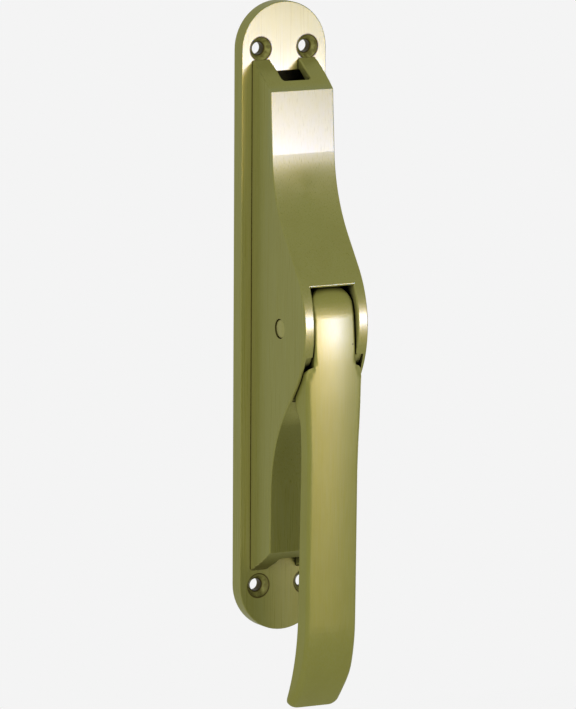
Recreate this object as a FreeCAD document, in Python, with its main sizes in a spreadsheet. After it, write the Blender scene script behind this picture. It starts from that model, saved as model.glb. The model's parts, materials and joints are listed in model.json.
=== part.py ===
import FreeCAD, Part
import math
import os
import Sketcher
from FreeCAD import Vector

# Espagnolette bolt: a lever on a long plate that draws two rods, one up and one down.
# Frame: origin on the wall behind the plate's centre, front towards -Y, +Z up, millimetres.
# Depths are measured from the wall towards the front, so a depth of 10 lies at y = -10.

driving = {
    # back plate
    "plate_length": 254.0,
    "plate_width": 38.0,
    "plate_thickness": 6.2,
    "plate_edge_round": 0.35,
    "fixing_inset": 18.65,
    "fixing_side": 8.5,
    "fixing_hole_diameter": 5.0,
    "fixing_sink_diameter": 9.7,
    "fixing_sink_depth": 2.8,
    # casing, seen from the side
    "casing_width": 28.5,
    "casing_top_inset": 23.0,
    "casing_bottom_inset": 25.2,
    "top_bevel_length": 11.0,
    "bottom_bevel_length": 9.6,
    "end_bulge": 0.6,
    "neck_depth": 22.7,
    "crest_depth": 50.75,
    "crest_level": 1.0,
    "crest_radius": 39.0,
    "flank_angle": 36.5,
    "sweep_radius": 59.0,
    "top_taper": 3.3,
    "bottom_taper": 0.8,
    "front_wall": 3.4,
    "side_wall": 4.55,
    "end_wall": 3.0,
    "cavity_end_inset": 4.7,
    "casing_edge_round": 0.5,
    # openings of the casing
    "slot_top": 17.6,
    "slot_bottom": 27.2,
    "slot_edge_round": 0.75,
    "ear_skin": 1.3,
    "cheek_gap": 0.45,
    "cheek_recess_top": 9.6,
    "cheek_recess_step": 0.35,
    "cheek_recess_exit": 28.6,
    "cheek_recess_end_angle": -60.0,
    "rod_slot_width": 12.7,
    "rod_slot_depth": 16.5,
    "rod_slot_start": 12.0,
    "rod_slot_reach": 30.0,
    "rod_slot_corner_round": 1.2,
    "rod_slot_edge_round": 0.6,
    # pivot
    "pivot_depth": 29.8,
    "pivot_level": -0.5,
    "pin_diameter": 8.0,
    "pin_chamfer": 0.25,
    "running_gap": 0.05,
    "hub_gap": 0.5,
    "washer_diameter": 15.0,
    # lever
    "grip_narrowing": 2.4,
    "grip_taper_end": 62.0,
    "shoulder_start": 10.8,
    "shoulder_length": 6.0,
    "crown_centre_depth": 34.65,
    "crown_end_angle": 55.0,
    "crown_gap": 0.35,
    "brow_step": 0.4,
    "brow_level": 4.0,
    "front_fall": 2.1,
    "curl_front_start": 118.0,
    "curl_front_radius": 50.0,
    "root_step": 3.7,
    "root_bottom": 26.7,
    "root_bend": 28.5,
    "grip_thickness": 8.45,
    "grip_back_start": 38.5,
    "back_fall": 2.6,
    "curl_back_start": 115.0,
    "tip_front_end": 153.6,
    "tip_thickness": 3.8,
    "tip_side_flat": 0.8,
    "tip_corner_round": 4.0,
    "tip_corner_step": 0.2,
    "lever_back_round": 1.0,
    "hub_radius": 12.2,
    "hub_join_radius": 11.2,
    "hub_join_low_angle": -112.0,
    "hub_join_high_angle": 96.0,
    "cheek_lip_step": 3.2,
    "cheek_lip_angle": -34.0,
    "cheek_heel_step": 1.7,
    "cheek_heel_angle": -60.0,
    "cheek_back_step": 0.6,
    "lever_swing": 70.0,
    "waste_margin": 10.0,
    # teeth
    "sector_module": 1.0,
    "sector_full_teeth": 28,
    "sector_teeth": 9,
    "sector_teeth_below": 1,
    "sector_width": 12.0,
    "idler_module": 0.8,
    "idler_teeth": 12,
    "pressure_angle": 20.0,
    "tooth_root_ratio": 1.25,
    "rack_tip_ratio": 0.9,
    "backlash": 0.16,
    "flank_points": 5,
    # slides
    "slide_gap": 0.2,
    "slide_head_gap": 0.4,
    "slide_head_slope": 3.0,
    "slide_bar_thickness": 5.2,
    "rack_back_step": 0.35,
    "rack_run_out": 1.0,
    "upper_head_inset": 11.4,
    "upper_head_length": 26.0,
    "upper_bar_bottom": 7.5,
    "upper_rack_length": 35.0,
    "lower_head_inset": 7.1,
    "lower_head_length": 16.0,
    "lower_link_foot": 4.0,
    "arm_side_gap": 0.4,
    "arm_back_depth": 2.2,
    "arm_front_depth": 7.0,
    "arm_link_top": 20.0,
    "arm_link_length": 28.0,
    "arm_rack_reach": 2.1,
    "rod_thread_diameter": 6.8,
    "rod_thread_depth": 14.0,
    # idler
    "idler_level": -30.0,
    "idler_back_depth": 2.1,
    "stud_diameter": 4.0,
    "stud_flange_diameter": 7.0,
    "stud_end_depth": 8.4,
    "clip_depth": 7.1,
    "clip_thickness": 0.7,
    "clip_diameter": 6.4,
    "clip_groove_diameter": 3.2,
    "clip_lip": 0.2,
    # back cover, rack guide and their screws
    "cover_thickness": 1.5,
    "cover_side_lap": 5.8,
    "cover_end_lap": 3.6,
    "cover_corner_round": 3.0,
    "cover_gap": 0.1,
    "guide_left": 3.0,
    "guide_side_gap": 0.5,
    "guide_bottom": 4.0,
    "guide_top": 24.0,
    "guide_gap": 0.15,
    "screw_diameter": 2.5,
    "screw_head_diameter": 4.6,
    "screw_length": 5.2,
    "screw_slot_width": 0.6,
    "screw_slot_depth": 0.7,
    "screw_inset": 2.7,
    "screw_end_inset": 8.2,
    "screw_middle": 2.0,
    "guide_screw_x": 3.0,
    "guide_screw_edge": 4.5,
}

# What fits in, seats on or lines up with something else follows from the sizes above.
following = {
    "fixing_spacing_x": "plate_width - 2 * fixing_side",
    "fixing_spacing_z": "plate_length - 2 * fixing_inset",
    "casing_top": "plate_length / 2 - casing_top_inset",
    "casing_bottom": "plate_length / 2 - casing_bottom_inset",
    "top_corner": "casing_top - top_bevel_length",
    "bottom_corner": "casing_bottom - bottom_bevel_length",
    "cavity_top": "casing_top - cavity_end_inset",
    "cavity_bottom": "casing_bottom - cavity_end_inset",
    "slot_width": "casing_width - 2 * side_wall",
    "cheek_recess_width": "casing_width - 2 * ear_skin",
    "cheek_width": "cheek_recess_width - 2 * cheek_gap",
    "neck_width": "slot_width - 2 * hub_gap",
    "grip_width": "cheek_width - grip_narrowing",
    "cheek_recess_radius": "crest_depth - pivot_depth - cheek_recess_step",
    "cheek_lip_radius": "cheek_recess_radius + cheek_lip_step",
    "cheek_heel_radius": "cheek_recess_radius + cheek_heel_step",
    "brow_depth": "crest_depth + brow_step",
    "crown_radius": "brow_depth - crown_centre_depth",
    "curl_front_depth": "brow_depth - front_fall",
    "grip_back_depth": "brow_depth - grip_thickness",
    "curl_back_depth": "grip_back_depth - back_fall",
    "root_depth": "grip_back_depth - root_step",
    "lever_front_round": "tip_thickness - tip_side_flat",
    "lever_blank_depth": "brow_depth + waste_margin",
    "washer_thickness": "hub_gap - 2 * running_gap",
    "slide_width": "rod_slot_width - 2 * slide_gap",
    "rack_root_depth": "pivot_depth - sector_module * (sector_full_teeth / 2 + tooth_root_ratio)",
    "slide_bar_depth": "rack_root_depth - rack_back_step",
    "slide_back_depth": "slide_bar_depth - slide_bar_thickness",
    "slide_head_back": "plate_thickness + slide_head_gap",
    "slide_head_front": "rod_slot_depth - slide_head_gap",
    "upper_slide_top": "cavity_top - upper_head_inset",
    "lower_slide_bottom": "cavity_bottom - lower_head_inset",
    "arm_outer": "slot_width / 2 - arm_side_gap",
    "cover_width": "slot_width + 2 * cover_side_lap",
    "cover_top": "cavity_top + cover_end_lap",
    "cover_bottom": "cavity_bottom + cover_end_lap",
    "guide_right": "slot_width / 2 - guide_side_gap",
    "screw_x": "slot_width / 2 + screw_inset",
    "screw_top": "cavity_top - screw_end_inset",
    "screw_bottom": "cavity_bottom - screw_end_inset",
}

# Tolerances for finding an edge: how near a place it lies, and how low one that lies flat is.
near = 0.05
flat_edge = 0.3

doc = FreeCAD.newDocument("EspagnoletteBolt")


def make_sheet():
    sheet = doc.addObject("Spreadsheet::Sheet", "Sizes")
    for row, (name, number) in enumerate(driving.items(), start=1):
        sheet.set(f"A{row}", name)
        sheet.set(f"B{row}", str(number))
        sheet.setAlias(f"B{row}", name)
    doc.recompute()
    for row, (name, formula) in enumerate(following.items(), start=len(driving) + 1):
        sheet.set(f"A{row}", name)
        sheet.set(f"B{row}", f"={formula}")
        sheet.setAlias(f"B{row}", name)
        doc.recompute()
    return sheet


sheet = make_sheet()


def size(name):
    return float(sheet.get(name))


def new_body(label):
    body = doc.addObject("PartDesign::Body", label)
    body.Label = label
    return body


def new_sketch(body, name, role, offset="0"):
    plane = next(item for item in body.Origin.OriginFeatures if item.Role == role)
    sketch = body.newObject("Sketcher::SketchObject", name)
    sketch.AttachmentSupport = [(plane, "")]
    sketch.MapMode = "FlatFace"
    sketch.setExpression("AttachmentOffset.Base.z", offset)
    doc.recompute()
    return sketch


def bind(sketch, constraint, name, expression):
    index = sketch.addConstraint(constraint)
    sketch.renameConstraint(index, name)
    sketch.setExpression(f"Constraints.{name}", expression)


def draw_circle(sketch, across, up, radius):
    centre = Vector(sketch.evalExpression(across), sketch.evalExpression(up), 0)
    number = sketch.addGeometry(Part.Circle(centre, Vector(0, 0, 1), sketch.evalExpression(radius)))
    bind(sketch, Sketcher.Constraint("DistanceX", number, 3, centre.x), f"across_{number}", across)
    bind(sketch, Sketcher.Constraint("DistanceY", number, 3, centre.y), f"up_{number}", up)
    start = sketch.evalExpression(radius)
    bind(sketch, Sketcher.Constraint("Radius", number, start), f"radius_{number}", radius)


def draw_polygon(sketch, corners):
    """Closed straight outline, each corner bound to two expressions."""
    points = [Vector(sketch.evalExpression(a), sketch.evalExpression(b), 0) for a, b in corners]
    first = sketch.GeometryCount
    count = len(points)
    for index, point in enumerate(points):
        sketch.addGeometry(Part.LineSegment(point, points[(index + 1) % count]))
    for index, (across, up) in enumerate(corners):
        line = first + index
        following = first + (index + 1) % count
        sketch.addConstraint(Sketcher.Constraint("Coincident", line, 2, following, 1))
        bind(sketch, Sketcher.Constraint("DistanceX", line, 1, points[index].x), f"across_{line}", across)
        bind(sketch, Sketcher.Constraint("DistanceY", line, 1, points[index].y), f"up_{line}", up)


def draw_rectangle(sketch, left, right, bottom, top):
    draw_polygon(sketch, [(left, bottom), (right, bottom), (right, top), (left, top)])


def draw_path(sketch, path):
    """Closed outline of lines and arcs; a pair of points after the first one is an arc's middle and end."""
    start = path[0]
    here = start
    for step in path[1:] + [start]:
        if isinstance(step, tuple):
            middle, end = step
            sketch.addGeometry(Part.Arc(here, middle, end))
        else:
            end = step
            sketch.addGeometry(Part.LineSegment(here, end))
        here = end


def volume_of(body):
    return body.Shape.Volume if body.Tip and not body.Shape.isNull() else 0.0


def pad(body, name, sketch, length, symmetric=False, turned=False):
    before = volume_of(body)
    feature = body.newObject("PartDesign::Pad", name)
    feature.Profile = sketch
    feature.SideType = "Symmetric" if symmetric else "One side"
    feature.Reversed = turned
    feature.setExpression("Length", length)
    doc.recompute()
    if volume_of(body) <= before:
        raise RuntimeError(f"{name} adds nothing")
    return feature


def pocket(body, name, sketch, length, symmetric=False, turned=False):
    before = volume_of(body)
    feature = body.newObject("PartDesign::Pocket", name)
    feature.Profile = sketch
    feature.SideType = "Symmetric" if symmetric else "One side"
    feature.Reversed = turned
    feature.setExpression("Length", length)
    doc.recompute()
    if volume_of(body) >= before:
        raise RuntimeError(f"{name} cuts nothing")
    return feature


def edges_where(shape, wanted):
    return [f"Edge{index}" for index, edge in enumerate(shape.Edges, start=1) if wanted(edge)]


def middle_of(edge):
    return edge.valueAt((edge.FirstParameter + edge.LastParameter) / 2)


def fillet(body, name, edges, radius):
    feature = body.newObject("PartDesign::Fillet", name)
    feature.Base = (feature.BaseFeature, edges)
    feature.setExpression("Radius", radius)
    doc.recompute()
    return feature


def chamfer(body, name, edges, width):
    feature = body.newObject("PartDesign::Chamfer", name)
    feature.Base = (feature.BaseFeature, edges)
    feature.setExpression("Size", width)
    doc.recompute()
    return feature


# Side outlines are drawn on the YZ plane: the first coordinate is y, so depths change sign.
def at(depth, level):
    return Vector(-depth, level, 0)


pivot = at(size("pivot_depth"), size("pivot_level"))
pivot_y = "-Sizes.pivot_depth"
pivot_z = "Sizes.pivot_level"


def about_pivot(radius, degrees):
    """Point of a side outline, by its angle from straight out of the wall towards up."""
    angle = math.radians(degrees)
    return pivot + Vector(-radius * math.cos(angle), radius * math.sin(angle), 0)


def hump_points(side, taper, inset):
    """Flank and sweep of the casing's front above (side 1) or below (side -1) its crest."""
    flank = math.radians(size("flank_angle"))
    lean = math.radians(taper)
    radius = size("crest_radius")
    sweep = size("sweep_radius")
    crest_centre = size("crest_depth") - radius
    level = size("crest_level")

    def place(depth, rise, angle):
        depth -= inset * math.cos(angle)
        rise -= inset * math.sin(angle)
        return at(depth, level + side * rise)

    crest_end = (crest_centre + radius * math.cos(flank), radius * math.sin(flank))
    sweep_start_depth = size("neck_depth") + sweep * (math.cos(lean) - math.cos(flank))
    flank_length = (crest_end[0] - sweep_start_depth) / math.sin(flank)
    sweep_start = (sweep_start_depth, crest_end[1] + flank_length * math.cos(flank))
    centre = (sweep_start[0] + sweep * math.cos(flank), sweep_start[1] + sweep * math.sin(flank))
    half = (flank + lean) / 2
    sweep_middle = (centre[0] - sweep * math.cos(half), centre[1] - sweep * math.sin(half))
    sweep_end = (centre[0] - sweep * math.cos(lean), centre[1] - sweep * math.sin(lean))
    return [place(*crest_end, flank), place(*sweep_start, flank),
            place(*sweep_middle, half), place(*sweep_end, lean)]


def front_at(point, level, side, taper):
    """Where the tapering straight front above or below the sweep reaches a level."""
    rise = side * (level - point.y)
    return Vector(point.x + rise * math.tan(math.radians(taper)), level, 0)


def bulged(start, end, bulge):
    chord = end - start
    outward = Vector(-chord.y, chord.x, 0).normalize()
    if outward.x > 0:
        outward = outward * -1
    return ((start + end) * 0.5 + outward * bulge, end)


def casing_outline():
    upper = hump_points(1, size("top_taper"), 0)
    lower = hump_points(-1, size("bottom_taper"), 0)
    crest = at(size("crest_depth"), size("crest_level"))
    foot = size("plate_thickness")
    top_front = front_at(upper[3], size("top_corner"), 1, size("top_taper"))
    bottom_front = front_at(lower[3], -size("bottom_corner"), -1, size("bottom_taper"))
    top_foot = at(foot, size("casing_top"))
    bottom_foot = at(foot, -size("casing_bottom"))
    inside = foot / 2
    return [at(inside, size("casing_top")), top_foot, bulged(top_foot, top_front, size("end_bulge")),
            upper[3], (upper[2], upper[1]), upper[0], (crest, lower[0]), lower[1], (lower[2], lower[3]),
            bottom_front, bulged(bottom_front, bottom_foot, size("end_bulge")),
            at(inside, -size("casing_bottom"))]


def meet(point_a, along_a, point_b, along_b):
    gap = point_b - point_a
    scale = (gap.x * along_b.y - gap.y * along_b.x) / (along_a.x * along_b.y - along_a.y * along_b.x)
    return point_a + along_a * scale


def cavity_end(sweep_end, side, taper, corner, foot_level, cavity_level):
    """Inner corner of the front wall with the bevelled end wall, and that wall's end at the cavity's top."""
    outer_sweep_end = hump_points(side, taper, 0)[3]
    outer_front = front_at(outer_sweep_end, side * corner, side, taper)
    outer_foot = at(size("plate_thickness"), side * foot_level)
    bevel = (outer_foot - outer_front).normalize()
    inward = Vector(bevel.y, -bevel.x, 0)
    if inward.y * side > 0:
        inward = inward * -1
    bevel_point = outer_front + inward * size("end_wall")
    front_line = Vector(math.tan(math.radians(taper)), side, 0)
    inner_corner = meet(sweep_end, front_line, bevel_point, bevel)
    inner_top = meet(bevel_point, bevel, at(0, side * cavity_level), Vector(1, 0, 0))
    return inner_corner, inner_top


def cavity_outline():
    wall = size("front_wall")
    upper = hump_points(1, size("top_taper"), wall)
    lower = hump_points(-1, size("bottom_taper"), wall)
    crest = at(size("crest_depth") - wall, size("crest_level"))
    top_corner, top_end = cavity_end(upper[3], 1, size("top_taper"), size("top_corner"),
                                     size("casing_top"), size("cavity_top"))
    bottom_corner, bottom_end = cavity_end(lower[3], -1, size("bottom_taper"), size("bottom_corner"),
                                           size("casing_bottom"), size("cavity_bottom"))
    behind = -size("cover_thickness")
    return [at(behind, size("cavity_top")), top_end, top_corner, upper[3], (upper[2], upper[1]), upper[0],
            (crest, lower[0]), lower[1], (lower[2], lower[3]), bottom_corner, bottom_end,
            at(behind, -size("cavity_bottom"))]


def draw_stadium(sketch, width, length):
    radius = sketch.evalExpression(width) / 2
    reach = sketch.evalExpression(length) / 2 - radius
    sketch.addGeometry([
        Part.LineSegment(Vector(radius, -reach, 0), Vector(radius, reach, 0)),
        Part.Arc(Vector(radius, reach, 0), Vector(0, reach + radius, 0), Vector(-radius, reach, 0)),
        Part.LineSegment(Vector(-radius, reach, 0), Vector(-radius, -reach, 0)),
        Part.Arc(Vector(-radius, -reach, 0), Vector(0, -reach - radius, 0), Vector(radius, -reach, 0)),
    ])
    for line, end, following, start in ((0, 2, 1, 1), (1, 2, 2, 1), (2, 2, 3, 1), (3, 2, 0, 1)):
        sketch.addConstraint(Sketcher.Constraint("Tangent", line, end, following, start))
    sketch.addConstraint(Sketcher.Constraint("Vertical", 0))
    sketch.addConstraint(Sketcher.Constraint("PointOnObject", 1, 3, -2))
    sketch.addConstraint(Sketcher.Constraint("Symmetric", 1, 3, 3, 3, -1, 1))
    bind(sketch, Sketcher.Constraint("Radius", 1, radius), "end_radius", f"{width} / 2")
    bind(sketch, Sketcher.Constraint("DistanceY", 3, 3, 1, 3, 2 * reach), "between", f"{length} - {width}")


def screw_places():
    side = "Sizes.screw_x"
    levels = ("Sizes.screw_top", "Sizes.screw_middle", "-Sizes.screw_bottom")
    return [(f"{sign}{side}", level) for level in levels for sign in ("", "-")]


def make_casting():
    body = new_body("body_casting")

    plate = new_sketch(body, "plate_outline", "XZ_Plane")
    draw_stadium(plate, "Sizes.plate_width", "Sizes.plate_length")
    pad(body, "plate", plate, "Sizes.plate_thickness")

    side = new_sketch(body, "casing_side", "YZ_Plane")
    draw_path(side, casing_outline())
    pad(body, "casing", side, "Sizes.casing_width", symmetric=True)
    fillet(body, "casing_edges", edges_where(body.Shape, on_casing_edge), "Sizes.casing_edge_round")
    fillet(body, "plate_rim", edges_where(body.Shape, on_plate_rim), "Sizes.plate_edge_round")

    hollow = new_sketch(body, "cavity_side", "YZ_Plane")
    draw_path(hollow, cavity_outline())
    pocket(body, "cavity", hollow, "Sizes.slot_width", symmetric=True)

    swing = new_sketch(body, "crown_room_side", "YZ_Plane")
    radius = crown_reach() + size("crown_gap")
    swing.addGeometry(Part.Circle(pivot, Vector(0, 0, 1), radius))
    pocket(body, "crown_room", swing, "Sizes.slot_width", symmetric=True)

    recess = new_sketch(body, "cover_recess_outline", "XZ_Plane")
    half_width = "Sizes.cover_width / 2 + Sizes.cover_gap"
    draw_rectangle(recess, f"-({half_width})", half_width,
                   "-Sizes.cover_bottom - Sizes.cover_gap", "Sizes.cover_top + Sizes.cover_gap")
    pocket(body, "cover_recess", recess, "Sizes.cover_thickness", turned=True)
    half = size("cover_width") / 2 + size("cover_gap")
    corners = edges_where(body.Shape, lambda edge: abs(abs(middle_of(edge).x) - half) < near
                          and abs(edge.Length - size("cover_thickness")) < near
                          and middle_of(edge).y > -size("cover_thickness"))
    fillet(body, "recess_corners", corners, "Sizes.cover_corner_round")

    window = new_sketch(body, "lever_slot_front", "XZ_Plane", "Sizes.neck_depth")
    draw_rectangle(window, "-Sizes.slot_width / 2", "Sizes.slot_width / 2",
                   "-Sizes.slot_bottom", "Sizes.slot_top")
    pocket(body, "lever_slot", window, "Sizes.crest_depth", turned=True)

    cheek = new_sketch(body, "cheek_recess_side", "YZ_Plane")
    draw_path(cheek, cheek_recess_outline())
    pocket(body, "cheek_recess", cheek, "Sizes.cheek_recess_width", symmetric=True)

    for name, start in (("upper", "Sizes.cavity_top - Sizes.rod_slot_start"),
                        ("lower", "Sizes.rod_slot_start - Sizes.cavity_bottom")):
        rod = new_sketch(body, f"{name}_rod_slot_section", "XY_Plane", start)
        draw_rectangle(rod, "-Sizes.rod_slot_width / 2", "Sizes.rod_slot_width / 2",
                       "-Sizes.rod_slot_depth", "-Sizes.plate_thickness")
        pocket(body, f"{name}_rod_slot", rod, "Sizes.rod_slot_reach", turned=(name == "upper"))

    bore = new_sketch(body, "pin_bore_side", "YZ_Plane")
    draw_circle(bore, pivot_y, pivot_z, "Sizes.pin_diameter / 2")
    pocket(body, "pin_bore", bore, "2 * Sizes.casing_width", symmetric=True)

    taps = new_sketch(body, "tapped_holes_plan", "XZ_Plane", "Sizes.cover_thickness / 2")
    for across, up in screw_places():
        draw_circle(taps, across, up, "Sizes.screw_diameter / 2")
    pocket(body, "tapped_holes", taps, "Sizes.screw_length - Sizes.cover_thickness / 2", turned=True)

    for row, sign in (("top", ""), ("bottom", "-")):
        for column, direction in (("left", "-"), ("right", "")):
            across = f"{direction}Sizes.fixing_spacing_x / 2"
            up = f"{sign}Sizes.fixing_spacing_z / 2"
            hole = new_sketch(body, f"{row}_{column}_fixing_place", "XZ_Plane")
            draw_circle(hole, across, up, "Sizes.fixing_hole_diameter / 2")
            pocket(body, f"{row}_{column}_fixing_hole", hole, "Sizes.plate_thickness", turned=True)
            sink = body.newObject("PartDesign::SubtractiveCone", f"{row}_{column}_fixing_sink")
            sink.setExpression("Radius1", "Sizes.fixing_hole_diameter / 2")
            sink.setExpression("Radius2", "Sizes.fixing_sink_diameter / 2")
            sink.setExpression("Height", "Sizes.fixing_sink_depth")
            sink.Placement.Rotation = FreeCAD.Rotation(Vector(1, 0, 0), 90)
            sink.setExpression(".Placement.Base.x", across)
            sink.setExpression(".Placement.Base.y", "Sizes.fixing_sink_depth - Sizes.plate_thickness")
            sink.setExpression(".Placement.Base.z", up)
            doc.recompute()

    corners = edges_where(body.Shape, on_rod_slot_corner)
    fillet(body, "rod_slot_corners", corners, "Sizes.rod_slot_corner_round")
    fillet(body, "rod_slot_rims", rod_slot_rims(body.Shape), "Sizes.rod_slot_edge_round")
    fillet(body, "slot_edges", edges_where(body.Shape, on_slot_edge), "Sizes.slot_edge_round")
    return body


def on_casing_edge(edge):
    """Outer edges of the casing, where its side walls and its end bevels meet its front."""
    point = middle_of(edge)
    if edge.BoundBox.XLength > size("casing_width") - near:
        return any(abs(point.z - level) < near for level in (size("top_corner"), -size("bottom_corner")))
    return abs(abs(point.x) - size("casing_width") / 2) < near and edge.BoundBox.XLength < near \
        and -point.y > size("plate_thickness") + near


def on_plate_rim(edge):
    """Outline of the plate's front face."""
    point = middle_of(edge)
    radius = size("plate_width") / 2
    reach = size("plate_length") / 2 - radius
    beyond = max(abs(point.z) - reach, 0.0)
    return abs(point.y + size("plate_thickness")) < near and edge.BoundBox.YLength < near \
        and abs(math.hypot(point.x, beyond) - radius) < near


def on_slot_edge(edge):
    """Front edges of the lever slot beside the lever's neck and above its head."""
    point = middle_of(edge)
    box = edge.BoundBox
    across = abs(abs(point.x) - size("slot_width") / 2) < near and box.XLength < near
    above = box.XLength > size("slot_width") - near and abs(point.z - size("slot_top")) < near
    centre = at(size("crest_depth") - size("crest_radius"), size("crest_level"))
    from_centre = (Vector(point.y, point.z, 0) - centre).Length
    return (across or above) and abs(from_centre - size("crest_radius")) < near


def on_rod_slot_corner(edge):
    """Long inner corners of the rod slots in the end bevels, along the rods."""
    point = middle_of(edge)
    return abs(abs(point.x) - size("rod_slot_width") / 2) < near and \
        abs(point.y + size("rod_slot_depth")) < near and edge.BoundBox.XLength < near


def rod_slot_rims(shape):
    """Edges that the rod slots leave in the outer faces of the end bevels."""
    width = size("rod_slot_width")
    bevels = [face for face in shape.Faces if face.BoundBox.XLength > width
              and face.BoundBox.YMin < -size("rod_slot_depth")
              and (face.BoundBox.ZMin > size("top_corner") - size("casing_edge_round")
                   or face.BoundBox.ZMax < size("casing_edge_round") - size("bottom_corner"))]

    def on_rim(edge):
        point = middle_of(edge)
        return edge.BoundBox.XLength < width and abs(point.x) < width / 2 + near and \
            -point.y > size("plate_thickness") + near and \
            any(edge.isSame(other) for face in bevels for other in face.Edges)

    return edges_where(shape, on_rim)


def cheek_recess_outline():
    """Room in the side walls for the lever's cheeks, behind a curve about the pivot."""
    radius = size("cheek_recess_radius")
    top = -size("cheek_recess_top")
    start_angle = math.degrees(math.asin((top - pivot.y) / radius))
    end_angle = size("cheek_recess_end_angle")
    front = size("crest_depth") + size("waste_margin")
    floor = at(size("root_depth") - size("cheek_gap"), -size("root_bottom"))
    heel = about_pivot(radius, end_angle)
    exit_point = meet(heel, floor - heel, at(0, -size("cheek_recess_exit")), Vector(1, 0, 0))
    return [at(front, top), about_pivot(radius, start_angle),
            (about_pivot(radius, (start_angle + end_angle) / 2), heel),
            exit_point, at(front, -size("cheek_recess_exit"))]


def involute_half_angle(radius, pitch_radius, tooth_half):
    """Half the angle of a tooth at a radius; below the base circle the flank is radial."""
    pressure = math.radians(size("pressure_angle"))
    base = pitch_radius * math.cos(pressure)
    at_pitch = math.tan(pressure) - pressure
    local = math.acos(base / radius) if radius > base else 0.0
    return tooth_half + at_pitch - (math.tan(local) - local)


def tooth_points(pitch_radius, module, centre_angle, turn=1):
    """One tooth's outline as polar pairs, from its first root to its last."""
    teeth = 2 * pitch_radius / module
    tooth_half = math.pi / (2 * teeth) - size("backlash") / (4 * pitch_radius)
    root = pitch_radius - size("tooth_root_ratio") * module
    tip = pitch_radius + module
    steps = int(size("flank_points"))
    radii = [root + (tip - root) * index / (steps - 1) for index in range(steps)]
    halves = [involute_half_angle(radius, pitch_radius, tooth_half) for radius in radii]
    rising = [(radius, centre_angle - half) for radius, half in zip(radii, halves)]
    falling = [(radius, centre_angle + half) for radius, half in zip(radii, halves)]
    return rising + falling[::-1]


def rack_outline(module, first, count):
    """Teeth of a rack as (along, out) pairs from the pitch line, each tooth centred at half a pitch."""
    pitch = math.pi * module
    slope = math.tan(math.radians(size("pressure_angle")))
    half = pitch / 4 - size("backlash") / 4
    tip = size("rack_tip_ratio") * module
    root = size("tooth_root_ratio") * module
    points = []
    for index in range(first, first + count):
        centre = (index + 0.5) * pitch
        points += [(centre - half - root * slope, -root), (centre - half + tip * slope, tip),
                   (centre + half - tip * slope, tip), (centre + half + root * slope, -root)]
    return points


def sector_pitch_radius():
    return size("sector_module") * size("sector_full_teeth") / 2


def lever_front(level):
    """Depth of the lever's front between its brow and the start of its curl."""
    drop = size("brow_level") - level
    return size("brow_depth") - drop * math.tan(front_lean())


def front_lean():
    return math.atan2(size("brow_depth") - size("curl_front_depth"),
                      size("brow_level") + size("curl_front_start"))


def back_lean():
    return math.atan2(size("grip_back_depth") - size("curl_back_depth"),
                      size("curl_back_start") - size("grip_back_start"))


def crown_point(degrees):
    """Point of the crown, an arc that leaves the lever's front tangentially at the brow."""
    lean = front_lean()
    radius = size("crown_radius")
    brow = at(size("brow_depth"), size("brow_level"))
    centre = brow + Vector(radius * math.cos(lean), radius * math.sin(lean), 0)
    angle = math.radians(degrees)
    return centre + Vector(-radius * math.cos(angle), radius * math.sin(angle), 0)


def crown_reach():
    """Largest distance of the crown from the pivot."""
    return max((crown_point(angle) - pivot).Length for angle in range(0, 91))


def s_bend(start, end):
    """Two equal arcs from start to end, upright at both ends, as a pair of path steps."""
    across = end.x - start.x
    along = end.y - start.y
    radius = (across ** 2 + along ** 2) / (4 * abs(across))
    swing = math.asin(abs(along) / 2 / radius) / 2
    sideways = math.copysign(radius * (1 - math.cos(swing)), across)
    lengthways = math.copysign(radius * math.sin(swing), along)
    middle = (start + end) * 0.5
    return [(start + Vector(sideways, lengthways, 0), middle), (end - Vector(sideways, lengthways, 0), end)]


def curl_centre(start, lean, radius):
    return start + Vector(radius * math.cos(lean), radius * math.sin(lean), 0)


def tip_back():
    """Back corner of the lever's tip, straight across the lever from its front corner."""
    start = at(size("curl_front_depth"), -size("curl_front_start"))
    radius = size("curl_front_radius")
    tip = curled(start, front_lean(), radius, -size("tip_front_end"))[1]
    inward = (curl_centre(start, front_lean(), radius) - tip).normalize()
    return tip + inward * size("tip_thickness")


def curl_back_radius():
    """Radius of the back's curl, which leaves the back tangentially and ends at the tip."""
    chord = tip_back() - at(size("curl_back_depth"), -size("curl_back_start"))
    aside = chord.dot(Vector(math.cos(back_lean()), math.sin(back_lean()), 0))
    return chord.Length ** 2 / (2 * aside)


def curled(start, lean, radius, end_level):
    """Middle and end of an arc that leaves a straight stretch tangentially and curls towards the wall."""
    centre = curl_centre(start, lean, radius)
    end_angle = math.asin((centre.y - end_level) / radius)
    middle_angle = (end_angle + lean) / 2
    points = []
    for angle in (middle_angle, end_angle):
        points.append(centre + Vector(-radius * math.cos(angle), -radius * math.sin(angle), 0))
    return tuple(points)


def lever_outline():
    brow = crown_point(-math.degrees(front_lean()))
    crown_end = crown_point(size("crown_end_angle"))
    crown_middle = crown_point(size("crown_end_angle") / 2)
    curl_front = at(size("curl_front_depth"), -size("curl_front_start"))
    curl_back = at(size("curl_back_depth"), -size("curl_back_start"))
    back_start = at(size("grip_back_depth"), -size("grip_back_start"))
    front_curl = curled(curl_front, front_lean(), size("curl_front_radius"), -size("tip_front_end"))
    back_curl = curled(curl_back, back_lean(), curl_back_radius(), tip_back().y)
    root_low = at(size("root_depth"), -size("root_bend"))
    root = at(size("root_depth"), -size("root_bottom"))
    hub_low = about_pivot(size("hub_join_radius"), size("hub_join_low_angle"))
    hub_top = about_pivot(size("hub_join_radius"), size("hub_join_high_angle"))
    return [crown_end, (crown_middle, brow), curl_front, front_curl, back_curl[1],
            (back_curl[0], curl_back), back_start] + s_bend(back_start, root_low) + [root, hub_low, hub_top]


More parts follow.
